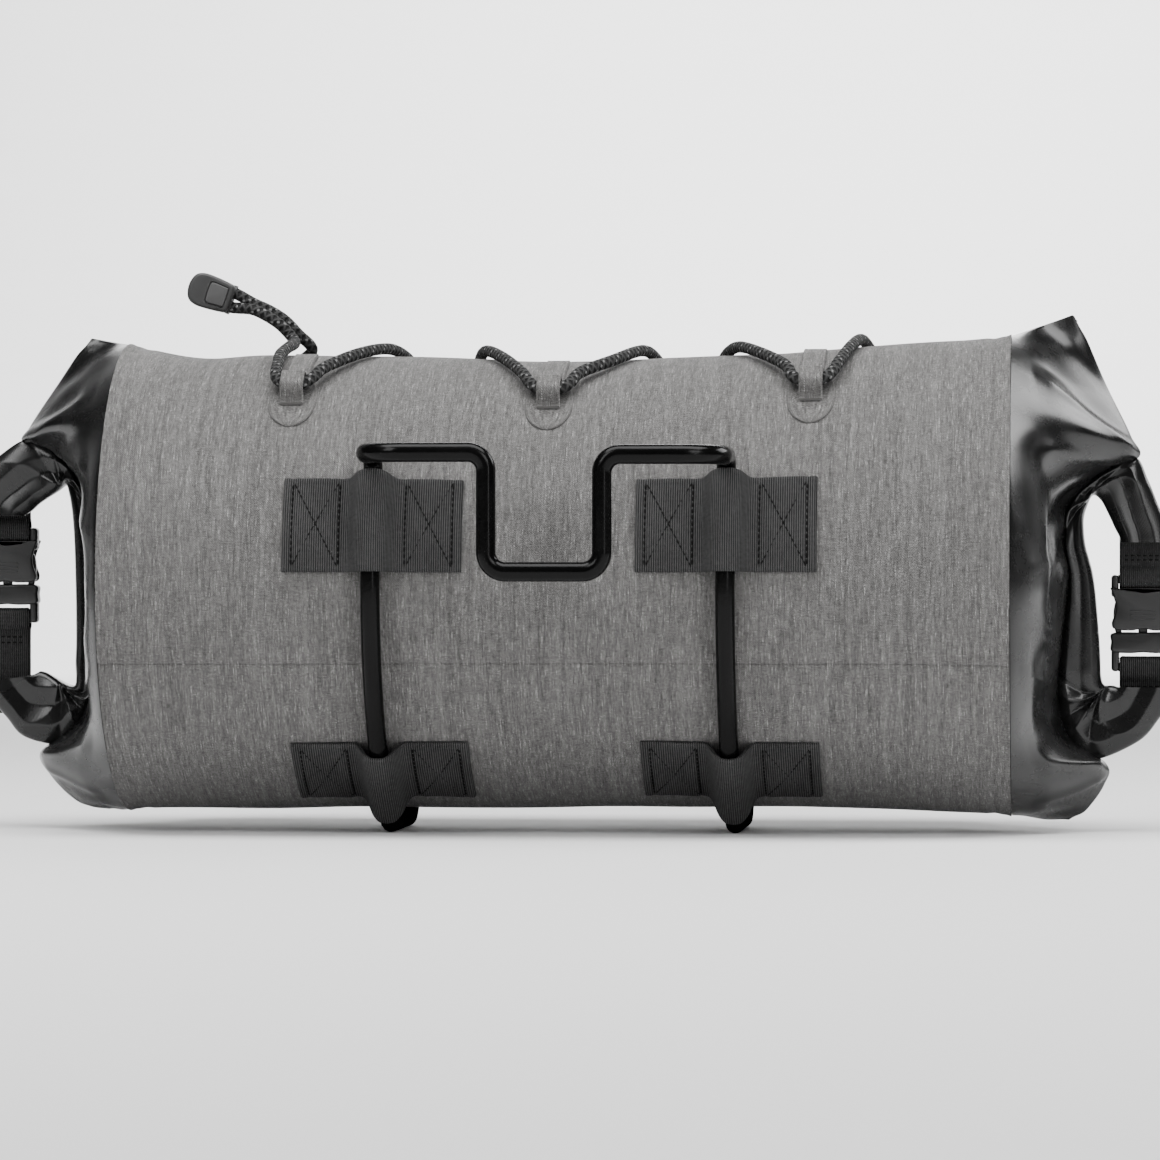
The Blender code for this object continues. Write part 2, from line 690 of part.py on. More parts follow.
def rod_half(side, leg, rail_up):
    """One side of the frame, from its far end round below the tube to the stem gap's floor."""
    x = side * ROD_APART / 2

    def circle(angle):
        turn = math.radians(angle)
        return np.array((x, -ROD_RADIUS * math.cos(turn), ROD_RADIUS * math.sin(turn)))

    leave = math.radians(ROD_LEAVES)
    foot = ROD_RADIUS * (math.cos(leave) - (1 - math.sin(leave)) / math.tan(math.pi / 2 - leave))
    low = -ROD_RADIUS
    corners = [circle(-180 + ROD_FAR_END), circle(-180 + ROD_FAR_END + 7), circle(-180 + ROD_LEAVES)]
    radii = [0, 0]
    corners += [np.array((x, foot, low)), np.array((x, -foot, low))]
    radii += [FOOT_BEND, FOOT_BEND]
    angles = np.linspace(-ROD_LEAVES, ROD_TOP, 11)
    corners += [circle(angle) for angle in angles]
    radii += [0] * len(angles)
    top = circle(ROD_TOP)
    turn = math.radians(ROD_TOP)
    up_left = (rail_up - top[2]) / math.cos(turn)
    rail_y = -ROD_RADIUS - RAIL_OUT
    corners.append(top + up_left * np.array((0.0, math.sin(turn), math.cos(turn))))
    corners.append(np.array((x, rail_y, rail_up)))
    radii += [5.5 * MM, 17 * MM]
    corners += [np.array((leg, rail_y, rail_up)), np.array((leg, rail_y, STEM_FLOOR))]
    radii += [7.5 * MM, 8 * MM]
    corners.append(np.array(((STEM_LEFT + STEM_RIGHT) / 2, rail_y, STEM_FLOOR)))
    return fillet(corners, radii)


def carrier_frame():
    left = rod_half(-1, STEM_LEFT, RAIL_UP)
    right = rod_half(1, STEM_RIGHT, RAIL_UP - RAIL_DROP)
    return tube("carrier_frame", left + right[-2::-1], ROD, METAL)


def mount_loop(name, side, angle):
    """A webbing strip sewn to the tube with a tunnel over the rod."""
    middle = side * ROD_APART / 2
    half = WEB_LONG / 2
    right_in = [(x * MM, lift * MM) for x, lift in WEB_INNER]
    right_out = [(x * MM, lift * MM) for x, lift in WEB_OUTER]
    inner = [(-half, FIT)] + [(-x, lift) for x, lift in reversed(right_in[1:])] + right_in + [(half, FIT)]
    outer = [(-half, FIT + WEB_THICK)] + [(-x, lift) for x, lift in reversed(right_out[1:])]
    outer += right_out + [(half, FIT + WEB_THICK)]
    rings = []
    for turn in np.linspace(angle - WEB_SPAN / 2, angle + WEB_SPAN / 2, 6):
        past = math.radians(max(0.0, -turn - ROD_LEAVES))
        under = ROD_RADIUS / math.cos(past) - ROD / 2 - FIT - np.linalg.norm(on_body(middle, turn)[1:])
        ring = []
        for x, lift in inner + outer[::-1]:
            raised = lift + under * min(1.0, max(0.0, 1.3 - abs(x) / (9 * MM)))
            ring.append(on_body(middle + x, turn, raised))
        rings.append(ring)
    return loft(name, rings, WEBBING)


def lace_patch(name, along, angle):
    rings = []
    x = along * BODY_HALF
    for t in (-1.0, -0.93, -0.75, -0.4, 0.0, 0.4, 0.75, 0.93, 1.0):
        half = PATCH_HALF * max(0.12, math.sqrt(max(0.0, 1 - abs(t) ** 2.6)))
        turn = angle + t * PATCH_SPAN / 2
        rings.append(
            [
                on_body(x - half, turn, FIT),
                on_body(x, turn, FIT),
                on_body(x + half, turn, FIT),
                on_body(x + half, turn, FIT + PATCH_THICK),
                on_body(x, turn, FIT + PATCH_THICK),
                on_body(x - half, turn, FIT + PATCH_THICK),
            ]
        )
    return loft(name, rings, LACE_CLOTH)


def lace_loop(name, along, angle, span, tail=None):
    """A band that stands off its patch as a flat arch; its tail runs on up the tube."""
    foot = FIT + PATCH_THICK + FIT + LACE_LOOP_CLOTH / 2
    rise = LACE + LOOP_CLEAR
    spots = [(angle + t * span / 2, foot + share * rise) for t, share in LOOP_ARCH]
    if tail:
        flat = FIT + LACE_LOOP_CLOTH / 2
        edge = angle - PATCH_LOWER + PATCH_SPAN / 2
        spots.append((edge + LOOP_TAIL_FALL[0], foot))
        spots += [(turn, flat) for turn in np.linspace(edge + LOOP_TAIL_FALL[1], tail, 8)]
    low, high = along * BODY_HALF - LACE_LOOP_WIDE / 2, along * BODY_HALF + LACE_LOOP_WIDE / 2
    rings = []
    for i, (turn, lift) in enumerate(spots):
        ahead = spots[min(i + 1, len(spots) - 1)]
        behind = spots[max(i - 1, 0)]
        arc = math.radians(ahead[0] - behind[0]) * BODY_RADIUS
        climb = ahead[1] - behind[1]
        length = math.hypot(arc, climb)
        out = arc / length * LACE_LOOP_CLOTH / 2
        shift = math.degrees(climb / length * LACE_LOOP_CLOTH / 2 / BODY_RADIUS)
        rings.append(
            [
                on_body(low, turn + shift, lift - out),
                on_body(high, turn + shift, lift - out),
                on_body(high, turn - shift, lift + out),
                on_body(low, turn - shift, lift + out),
            ]
        )
    obj = loft(name, rings, LACE_CLOTH)
    for polygon in obj.data.polygons:
        polygon.use_smooth = False
    return obj


def end_place(along, up):
    """A point of the cord end's own frame: along its length, and across it upwards."""
    c, s = math.cos(END_TILT), math.sin(END_TILT)
    return np.array(END_AT) + np.array((along * c + up * s, 0.0, -along * s + up * c))


def lace_path():
    inside = END_LONG / 2 - STRAND_HELD
    points = [end_place(inside, -STRAND_APART / 2), end_place(END_LONG / 2, -STRAND_APART / 2)]
    points += [np.array(row) * BODY_RADIUS for row in STRAND_DOWN]
    points += [on_body(along * BODY_HALF, angle, lift * LACE) for along, angle, lift in LACE_TURNS]
    points += [np.array(row) * BODY_RADIUS for row in STRAND_UP]
    points += [end_place(END_LONG / 2, STRAND_APART / 2), end_place(inside, STRAND_APART / 2)]
    return points


def smooth_path(points, count):
    """Points read evenly by number along a smooth curve through the given ones."""
    points = np.array([2 * points[0] - points[1], *points, 2 * points[-1] - points[-2]])
    read = []
    for at in np.linspace(0, len(points) - 3, count):
        i = min(int(at), len(points) - 4)
        t = at - i
        a, b, c, d = points[i : i + 4]
        bend = (2 * a - 5 * b + 4 * c - d) * t**2 + (3 * b - a - 3 * c + d) * t**3
        read.append(0.5 * (2 * b + (c - a) * t + bend))
    return read


def lace_hole(shell, up):
    """Drills the cord end for one end of the lace."""
    curve = bpy.data.curves.new("cord_end_hole", "CURVE")
    curve.dimensions = "3D"
    curve.bevel_depth = LACE / 2 + FIT
    curve.bevel_resolution = 3
    curve.use_fill_caps = True
    spline = curve.splines.new("POLY")
    spline.points.add(1)
    spline.points[0].co = (END_LONG / 2 - STRAND_HELD - 2 * FIT, 0, up, 1)
    spline.points[1].co = (END_LONG / 2 + MM, 0, up, 1)
    source = bpy.data.objects.new("cord_end_hole_curve", curve)
    hole = bpy.data.objects.new("cord_end_hole", bpy.data.meshes.new_from_object(source))
    bpy.data.objects.remove(source)
    CUTTERS.objects.link(hole)
    hole.parent = shell
    hole.hide_render = True
    hole.display_type = "WIRE"
    drill = shell.modifiers.new("hole", "BOOLEAN")
    drill.operation = "DIFFERENCE"
    drill.solver = "EXACT"
    drill.object = hole


def cord_end():
    long, wide, deep = END_LONG / 2, END_WIDE / 2, END_THICK / 2
    shell = block("cord_end", (-long, -deep, -wide), (long, deep, wide), GREY_PLASTIC, BAG, END_EDGE)
    shell.location = np.array(AXIS_AT) + np.array(END_AT)
    shell.rotation_euler = (0.0, END_TILT, 0.0)
    tall = wide - PANEL_MARGIN
    low = np.array((MM, -deep, -tall))
    high = np.array((long - PANEL_BEFORE, -deep + PANEL_DEEP, tall))
    cutter = cut(shell, low - (0, MM, 0), high)
    cutter.parent = shell
    cutter.location = (0, 0, 0)
    for sign in (-1, 1):
        lace_hole(shell, sign * STRAND_APART / 2)
    panel = block("cord_end_panel", low + (FIT, FIT / 3, FIT), high - (FIT, FIT, FIT), GREY_PLASTIC)
    panel.location = shell.location
    panel.rotation_euler = shell.rotation_euler


body_tube()
end_cap("end_cap_left", MOUTH_LEFT, -1)
end_cap("end_cap_right", MOUTH_RIGHT, 1)
roll("roll_left", MOUTH_LEFT, ROLL_LEFT, ARM_UPPER_LEFT, ARM_LOWER_LEFT, -1)
roll("roll_right", MOUTH_RIGHT, ROLL_RIGHT, ARM_UPPER_RIGHT, ARM_LOWER_RIGHT, 1)
for label, side, arm_foot in (("left", -1, ARM_UPPER_LEFT), ("right", 1, ARM_UPPER_RIGHT)):
    buckle(side, label)
    strap(f"strap_upper_{label}", side, 1, arm_foot[-1][1] * BODY_RADIUS)
for label, side, arm_foot in (("left", -1, ARM_LOWER_LEFT), ("right", 1, ARM_LOWER_RIGHT)):
    strap(f"strap_lower_{label}", side, -1, arm_foot[-1][1] * BODY_RADIUS)
carrier_frame()
for label, side in (("left", -1), ("right", 1)):
    mount_loop(f"mount_loop_upper_{label}", side, WEB_UPPER)
    mount_loop(f"mount_loop_lower_{label}", side, WEB_LOWER)
for number, along in enumerate(NEAR_LOOPS, 1):
    lace_patch(f"lace_patch_front_{number}", along, LACE_NEAR - PATCH_LOWER)
    lace_loop(f"lace_loop_front_{number}", along, LACE_NEAR, NEAR_SPAN, LOOP_TAIL)
for number, along in enumerate(FAR_LOOPS, 1):
    lace_patch(f"lace_patch_back_{number}", along, LACE_FAR + PATCH_LOWER)
    lace_loop(f"lace_loop_back_{number}", along, LACE_FAR, FAR_SPAN)
tube("bungee_cord", smooth_path(lace_path(), 150), LACE, CORD, 2)
cord_end()
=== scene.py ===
"""The looks of a bicycle handlebar bag that stands on its rod frame, seen from the handlebar side."""

import math

import bpy
import numpy as np
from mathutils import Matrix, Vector


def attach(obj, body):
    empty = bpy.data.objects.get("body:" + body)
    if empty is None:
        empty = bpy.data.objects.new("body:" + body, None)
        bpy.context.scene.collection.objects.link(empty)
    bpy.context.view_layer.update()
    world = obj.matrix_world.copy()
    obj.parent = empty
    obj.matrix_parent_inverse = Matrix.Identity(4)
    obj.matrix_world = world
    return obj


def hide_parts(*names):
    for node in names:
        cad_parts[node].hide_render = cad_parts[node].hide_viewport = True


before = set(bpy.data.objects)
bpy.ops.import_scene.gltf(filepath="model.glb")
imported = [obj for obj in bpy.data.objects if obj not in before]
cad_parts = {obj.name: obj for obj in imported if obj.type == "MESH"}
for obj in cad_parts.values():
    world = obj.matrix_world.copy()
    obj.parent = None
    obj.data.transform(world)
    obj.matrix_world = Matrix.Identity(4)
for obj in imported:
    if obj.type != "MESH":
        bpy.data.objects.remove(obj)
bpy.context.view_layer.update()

# The camera looks at the handlebar side, level with the bag's middle and a little from the
# right. It stands far off, so that the rolled ends show almost from the side.
MM = 0.001
TARGET = np.array((5.5, 19.25, 107.4)) * MM
CAMERA_AWAY = 2.4
CAMERA_TURN = math.radians(5.0)
CAMERA_LENS = 173.0

view = bpy.data.cameras.new("camera")
view.lens = CAMERA_LENS
camera = bpy.data.objects.new("camera", view)
bpy.context.scene.collection.objects.link(camera)
camera.location = TARGET + CAMERA_AWAY * np.array((math.sin(CAMERA_TURN), -math.cos(CAMERA_TURN), 0.0))
camera.rotation_euler = (math.pi / 2, 0.0, CAMERA_TURN)
bpy.context.scene.camera = camera

# The bungee is one round elastic cord in a braided jacket with light tracer threads. It zigzags
# through the cloth loops over the bag, runs back along the far row, and both of its ends are
# clamped in the cord end.
BODY_RADIUS = 98 * MM
BODY_HALF = 190 * MM
AXIS_AT = np.array((0.75, 19.25, 106.5)) * MM
FIT = 0.3 * MM
LACE = 5 * MM
LACE_SIDES = 14
LACE_STEP = 1.2 * MM
END_LONG = 20 * MM
CLAMPED = 9 * MM
END_AT = np.array((-157.6, 14.0, 126.0)) * MM
END_TILT = math.radians(19.3)
STRAND_APART = 6.4 * MM

# the jacket's plaits and its light threads, in radians for a metre of the lace
PLAITS = 1900
TRACERS = 640

# along, top, bottom, depth: the tube's outline as shares of its half length and radius
BODY_SHAPE = (
    (-1.00, 1.048, 1.003, 0.955),
    (-0.84, 0.994, 1.004, 0.990),
    (-0.70, 1.004, 1.003, 1.000),
    (-0.55, 1.003, 1.000, 1.000),
    (-0.40, 0.996, 0.996, 1.000),
    (-0.20, 0.985, 0.994, 1.000),
    (-0.02, 0.972, 0.993, 1.000),
    (0.23, 0.988, 0.990, 1.000),
    (0.44, 1.002, 0.991, 1.000),
    (0.60, 1.020, 0.993, 1.000),
    (0.78, 1.046, 0.998, 0.985),
    (1.00, 1.075, 1.017, 0.935),
)

# along, angle and lift of the lace: shares of BODY_HALF, degrees, lace diameters
LACE_TURNS = (
    (-0.632, 82.0, 0.66),
    (-0.638, 73.0, 0.62),
    (-0.634, 66.0, 0.68),
    (-0.631, 60.0, 0.88),
    (-0.624, 56.4, 0.90),
    (-0.600, 54.3, 0.90),
    (-0.580, 54.3, 0.90),
    (-0.562, 55.0, 0.90),
    (-0.542, 58.0, 0.90),
    (-0.524, 62.5, 0.88),
    (-0.463, 75.0, 0.62),
    (-0.411, 90.0, 0.60),
    (-0.384, 104.0, 0.62),
    (-0.368, 117.0, 0.88),
    (-0.350, 122.5, 0.90),
    (-0.322, 124.5, 0.90),
    (-0.278, 124.5, 0.90),
    (-0.250, 122.5, 0.90),
    (-0.232, 117.0, 0.88),
    (-0.216, 104.0, 0.62),
    (-0.185, 88.0, 0.62),
    (-0.132, 74.0, 0.62),
    (-0.083, 62.5, 0.88),
    (-0.060, 57.0, 0.90),
    (-0.037, 54.5, 0.90),
    (0.005, 54.5, 0.90),
    (0.028, 57.0, 0.90),
    (0.048, 62.5, 0.88),
    (0.112, 72.0, 0.62),
    (0.168, 88.0, 0.62),
    (0.190, 104.0, 0.62),
    (0.200, 117.0, 0.88),
    (0.216, 122.5, 0.90),
    (0.243, 124.5, 0.90),
    (0.287, 124.5, 0.90),
    (0.314, 122.5, 0.90),
    (0.330, 117.0, 0.88),
    (0.346, 104.0, 0.62),
    (0.385, 88.0, 0.62),
    (0.442, 74.0, 0.62),
    (0.502, 62.5, 0.88),
    (0.520, 57.0, 0.90),
    (0.541, 54.5, 0.90),
    (0.585, 54.5, 0.90),
    (0.606, 57.0, 0.90),
    (0.622, 62.5, 0.88),
    (0.645, 75.0, 0.62),
    (0.663, 90.0, 0.62),
    (0.680, 106.0, 0.62),
    (0.698, 116.0, 0.86),
    (0.718, 121.6, 0.90),
    (0.745, 124.2, 0.90),
    (0.786, 124.4, 0.90),
    (0.812, 126.0, 0.90),
    (0.812, 128.8, 0.90),
    (0.786, 130.4, 0.90),
    (0.735, 130.4, 0.90),
    (0.640, 130.4, 0.80),
    (0.500, 130.4, 0.66),
    (0.360, 130.4, 0.80),
    (0.265, 130.4, 0.90),
    (0.150, 130.4, 0.76),
    (0.000, 130.4, 0.66),
    (-0.180, 130.4, 0.76),
    (-0.300, 130.4, 0.90),
    (-0.420, 130.4, 0.76),
    (-0.530, 130.4, 0.74),
    (-0.628, 130.4, 0.90),
    (-0.683, 130.0, 0.90),
    (-0.708, 127.0, 0.90),
    (-0.704, 121.5, 0.80),
    (-0.665, 112.5, 0.62),
)

# along, back, up of the lace's two strands in the air: shares of BODY_RADIUS
STRAND_DOWN = (
    (-1.430, 0.132, 1.212),
    (-1.372, 0.122, 1.189),
    (-1.303, 0.118, 1.146),
    (-1.250, 0.122, 1.092),
    (-1.225, 0.072, 1.058),
)
STRAND_UP = (
    (-1.215, 0.300, 0.997),
    (-1.170, 0.240, 1.040),
    (-1.224, 0.185, 1.101),
    (-1.283, 0.172, 1.163),
    (-1.352, 0.165, 1.207),
    (-1.420, 0.152, 1.238),
)


def read(table, column, at):
    """One column of a table, read smoothly at values of its first column."""
    keys = np.array([row[0] for row in table])
    values = np.array([row[column] for row in table])
    slopes = np.gradient(values, keys)
    at = np.clip(np.asarray(at, float), keys[0], keys[-1])
    i = np.clip(np.searchsorted(keys, at, side="right") - 1, 0, len(keys) - 2)
    span = keys[i + 1] - keys[i]
    t = (at - keys[i]) / span
    here = (1 + 2 * t) * (1 - t) ** 2 * values[i] + t * (1 - t) ** 2 * span * slopes[i]
    there = t * t * (3 - 2 * t) * values[i + 1] + t * t * (t - 1) * span * slopes[i + 1]
    return here + there


def over_tube(x, angle, lift=0.0):
    """Points over the cloth tube, from its axis: 0 degrees faces the handlebar, 90 is the top."""
    x, angle, lift = np.broadcast_arrays(np.asarray(x, float), angle, lift)
    turn = np.radians(angle)
    along = x / BODY_HALF
    up = np.sin(turn)
    tall = np.where(up >= 0, read(BODY_SHAPE, 1, along), read(BODY_SHAPE, 2, along)) * BODY_RADIUS
    deep = read(BODY_SHAPE, 3, along) * BODY_RADIUS
    return np.stack((x, -np.cos(turn) * (deep + lift), up * (tall + lift)), axis=-1)


def spline(points, count):
    """Pieces of a smooth curve, from the second point to the one before the last."""
    pieces = []
    for a, b, c, d in zip(points, points[1:], points[2:], points[3:]):
        t = np.linspace(0, 1, count, endpoint=False)[:, None]
        bend = (2 * a - 5 * b + 4 * c - d) * t**2 + (3 * b - a - 3 * c + d) * t**3
        pieces.append(0.5 * (2 * b + (c - a) * t + bend))
    return pieces


def gone_along(points):
    """The length gone along a line at each of its points."""
    return np.concatenate([[0.0], np.cumsum(np.linalg.norm(np.diff(points, axis=0), axis=1))])


def spot_at(at, gone, values):
    """Points or directions of a line, read at a length gone along it."""
    return np.stack([np.interp(at, gone, column) for column in values.T], axis=-1)


def smooth_path(points, step):
    """A smooth curve through the given points, read at even steps of its length."""
    points = np.array([2 * points[0] - points[1], *points, 2 * points[-1] - points[-2]])
    fine = np.concatenate([*spline(points, 24), points[-2:-1]])
    gone = gone_along(fine)
    return spot_at(np.linspace(0, gone[-1], max(2, round(gone[-1] / step))), gone, fine)


def unit(vectors):
    return vectors / np.linalg.norm(vectors, axis=-1, keepdims=True)


def tube_rings(path, radius, sides):
    """Rings of points round a path, turned as little as the path allows."""
    ahead = unit(np.gradient(path, axis=0))
    side = np.cross(ahead[0], (0.3, 0.2, 0.9))
    turn = np.linspace(0, 2 * math.pi, sides, endpoint=False)[:, None]
    rings = []
    for place, way in zip(path, ahead):
        side = unit(side - way * side.dot(way))
        rings.append(place + radius * (np.cos(turn) * side + np.sin(turn) * np.cross(way, side)))
    return np.array(rings)


class Shape:
    """A mesh gathered from closed skins, each with its own finish and its lengths in metres as UVs."""

    def __init__(self):
        self.points, self.faces, self.uvs, self.finishes = [], [], [], []

    def skin(self, rings, u, v, finish=0, ends="flat"):
        """Rings of points joined up; ends are flat, paired, or joined to each other."""
        rings = np.asarray(rings, float)
        rows, count = rings.shape[:2]
        joined = int(ends == "joined")
        start = len(self.points)
        r, c = np.meshgrid(np.arange(rows - 1 + joined), np.arange(count), indexing="ij")
        below, right = (r + 1) % rows, (c + 1) % count
        corners = (r * count + c, r * count + right, below * count + right, below * count + c)
        faces = np.stack(corners, axis=-1).reshape(-1, 4)
        u = np.broadcast_to(u, (rows + joined, count + 1))
        v = np.broadcast_to(v, (rows + joined, count + 1))
        around = ((r, c), (r, c + 1), (r + 1, c + 1), (r + 1, c))
        spots = [np.stack((u[at], v[at]), axis=-1) for at in around]
        uvs = np.stack(spots, axis=2).reshape(-1, 4, 2)
        flat = rings.reshape(-1, 3)
        one, two, three, four = (flat[faces[:, i]] for i in range(4))
        inward = (np.cross(three - one, four - two) * (one - flat.mean(0))).sum() < 0
        lists = [list(face) for face in faces + start]
        spread = [list(map(tuple, uv)) for uv in uvs]
        groups = [range(count)]
        if ends == "paired":
            groups = [(i, i + 1, (count - i - 1) % count, (count - i) % count) for i in range(count // 2)]
        if not joined:
            for row, flipped in ((0, True), (rows - 1, False)):
                for group in groups:
                    group = list(dict.fromkeys(group))
                    group = group[::-1] if flipped else group
                    lists.append([start + row * count + i for i in group])
                    spread.append([(u[row, i], v[row, i]) for i in group])
        if inward:
            lists = [face[::-1] for face in lists]
            spread = [uv[::-1] for uv in spread]
        self.points += flat.tolist()
        self.faces += lists
        self.uvs += spread
        self.finishes += [finish] * len(lists)

    def make(self, name, finishes, slot, *nodes, crease=42.0):
        """The finished piece, put in its place round the bag's axis."""
        mesh = bpy.data.meshes.new(name)
        places = np.array(self.points) + AXIS_AT
        mesh.from_pydata(places.tolist(), [], self.faces)
        layer = mesh.uv_layers.new(name="lengths")
        spots = np.array([spot for face in self.uvs for spot in face], float)
        layer.data.foreach_set("uv", spots.ravel())
        for finish in finishes:
            mesh.materials.append(finish)
        mesh.polygons.foreach_set("material_index", self.finishes)
        mesh.polygons.foreach_set("use_smooth", [True] * len(self.faces))
        mesh.set_sharp_from_angle(angle=math.radians(crease))
        obj = bpy.data.objects.new(name, mesh)
        bpy.context.scene.collection.objects.link(obj)
        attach(obj, "root")
        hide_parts(*nodes)
        return obj


class Wire:
    """A shader socket that can be reckoned with."""

    def __init__(self, finish, socket):
        self.finish, self.socket = finish, socket

    def reckon(self, kind, *values):
        return self.finish.node("Math", {"operation": kind}, dict(enumerate(values)))

    def __add__(self, other):
        return self.reckon("ADD", self, other)

    def __radd__(self, other):
        return self.reckon("ADD", other, self)

    def __sub__(self, other):
        return self.reckon("SUBTRACT", self, other)

    def __rsub__(self, other):
        return self.reckon("SUBTRACT", other, self)

    def __mul__(self, other):
        return self.reckon("MULTIPLY", self, other)

    def __rmul__(self, other):
        return self.reckon("MULTIPLY", other, self)

    def __truediv__(self, other):
        return self.reckon("DIVIDE", self, other)

    def __rtruediv__(self, other):
        return self.reckon("DIVIDE", other, self)

    def sine(self):
        return self.reckon("SINE", self)

    def above(self, other):
        return self.reckon("GREATER_THAN", self, other)


class Finish:
    """A material and the nodes that make it."""

    def __init__(self, name):
        self.material = bpy.data.materials.new(name)
        self.material.use_nodes = True
        self.tree = self.material.node_tree
        self.tree.nodes.clear()
        lengths = self.node("UVMap", {"uv_map": "lengths"})
        self.u = self.node("SeparateXYZ", {}, {0: lengths})
        self.v = Wire(self, self.u.socket.node.outputs[1])

    def node(self, kind, settings=None, sockets=None, output=0):
        made = self.tree.nodes.new("ShaderNode" + kind)
        for key, value in (settings or {}).items():
            setattr(made, key, value)
        for key, value in (sockets or {}).items():
            if isinstance(value, Wire):
                self.tree.links.new(value.socket, made.inputs[key])
            else:
                made.inputs[key].default_value = value
        return Wire(self, made.outputs[output]) if made.outputs else made

    def noise(self, across, along, detail=2.0, rough=0.5):
        """Noise with so many cells a metre across and along."""
        spot = self.node("CombineXYZ", {}, {0: self.u * across, 1: self.v * along})
        sockets = {"Vector": spot, "Scale": 1.0, "Detail": detail, "Roughness": rough}
        return self.node("TexNoise", {}, sockets)

    def threads(self, across, along, wide, slub, seed=0.0):
        """A tone for every thread of the given width, which drifts along it by slubs a metre."""
        place = across.reckon("FLOOR", across / wide)
        spot = self.node("CombineXYZ", {}, {0: place * 7.31 + seed, 1: along * slub, 2: place * 3.7})
        return self.node("TexNoise", {}, {"Vector": spot, "Scale": 1.0, "Detail": 2.0, "Roughness": 0.6})

    def ramp(self, value, low, high, start=0.0, end=1.0):
        sockets = {0: value, 1: low, 2: high, 3: start, 4: end}
        return self.node("MapRange", {"clamp": True, "interpolation_type": "SMOOTHSTEP"}, sockets)

    def mix(self, share, first, second):
        return self.node("Mix", {"data_type": "RGBA"}, {0: share, 6: first, 7: second}, 2)

    def bump(self, height, distance, strength, under=None):
        sockets = {"Height": height, "Distance": distance, "Strength": strength}
        if under:
            sockets["Normal"] = under
        return self.node("Bump", {}, sockets)

    def done(self, **sockets):
        """The principled shader; names of sockets are written with underscores."""
        named = {key.replace("_", " "): value for key, value in sockets.items()}
        surface = self.node("BsdfPrincipled", {}, named)
        self.node("OutputMaterial", {}, {0: surface})
        return self.material


def grey(value, warm=0.0):
    return (value * (1 + warm), value, value * (1 - warm), 1.0)


def end_place(along, up, back=0.0):
    """Points in the cord end's own frame: along its length, across it upwards, and back."""
    c, s = math.cos(END_TILT), math.sin(END_TILT)
    turned = np.broadcast_arrays(along * c + up * s, back, up * c - along * s)
    return END_AT + np.stack(turned, axis=-1)


def lace_route():
    inside = END_LONG / 2 - CLAMPED
    points = [end_place(inside, -STRAND_APART / 2), end_place(END_LONG / 2, -STRAND_APART / 2)]
    points += [np.array(row) * BODY_RADIUS for row in STRAND_DOWN]
    points += [over_tube(along * BODY_HALF, angle, lift * LACE) for along, angle, lift in LACE_TURNS]
    points += [np.array(row) * BODY_RADIUS for row in STRAND_UP]
    points += [end_place(END_LONG / 2, STRAND_APART / 2), end_place(inside, STRAND_APART / 2)]
    return points


def braid(name, dark, light):
    """A braided jacket: crossing plaits and now and then a light thread."""
    finish = Finish(name)
    turn = finish.u * (2 * math.pi)
    one = (turn * 3 + finish.v * PLAITS).sine()
    other = (turn * 3 - finish.v * PLAITS).sine()
    plait = one.reckon("MAXIMUM", one, other)
    tracer = (turn * 2 + finish.v * TRACERS).sine().above(0.90) * other.above(0.2)
    fuzz = finish.noise(30, 900)
    tone = finish.mix(finish.ramp(plait + fuzz * 0.6 - 0.3, -0.2, 1.1), grey(dark), grey(dark * 4.0))
    return finish.done(
        Base_Color=finish.mix(tracer * 0.8, tone, grey(light)),
        Roughness=0.85,
        Specular_IOR_Level=0.2,
        Normal=finish.bump(plait, 0.5 * MM, 0.9),
    )


lace = Shape()
path = smooth_path(lace_route(), LACE_STEP)
length = np.arange(len(path))[:, None] * LACE_STEP
rings = tube_rings(path, LACE / 2, LACE_SIDES)
lace.skin(rings, np.linspace(0, 1, LACE_SIDES + 1)[None, :], length)
lace.make("bungee", [braid("braided_jacket", 0.011, 0.20)], "charcoal_cord", "bungee_cord")

# The cloth tube is one sheet of grey melange cloth, proofed on the inside, rolled up and welded
# along its length below the middle of the handlebar side. The weld shows as a low step.
CLOTH = 2.5 * MM
YARN = 0.5 * MM
SLEEVE = 12 * MM
SEAM_AT = -20.3
SEAM_REACH = 2.1
RIM_ROLL = 1.2 * MM
RIM_DIP = 7 * MM
RIM_FADE = 14 * MM


def bell(at, middle, width):
    return np.exp(-(((at - middle) / width) ** 2))


def tube_give(x, angle):
    """How far the cloth lies off its even round: soft dents, the weld and the ends' pressed rim."""
    sag = 0.45 * np.sin(x * 31 + angle * 0.045) + 0.35 * np.sin(x * 67 - angle * 0.028 + 1.3)
    sag += 0.25 * np.sin(x * 19 + angle * 0.11 + 0.6) * np.sin(x * 88 + 0.4)
    sag = (sag - 1.0) * 0.55
    below = 1 / (1 + np.exp((angle - SEAM_AT) / 0.16))
    step = -0.55 * below * np.exp(-(np.abs(angle - SEAM_AT)) / 14)
    groove = -0.5 * bell(angle, SEAM_AT - 0.25, 0.3)
    edge = BODY_HALF - np.abs(x)
    rim = 0.5 * bell(edge, 0.0, RIM_ROLL) - 0.5 * bell(edge, RIM_DIP, 2.2 * MM)
    return (sag * np.clip(edge / RIM_FADE, 0, 1) + step + groove + rim) * MM


def on_cloth(x, angle, lift):
    """Points over the cloth as it lies, with its dents."""
    return over_tube(x, angle, lift + tube_give(x, angle))


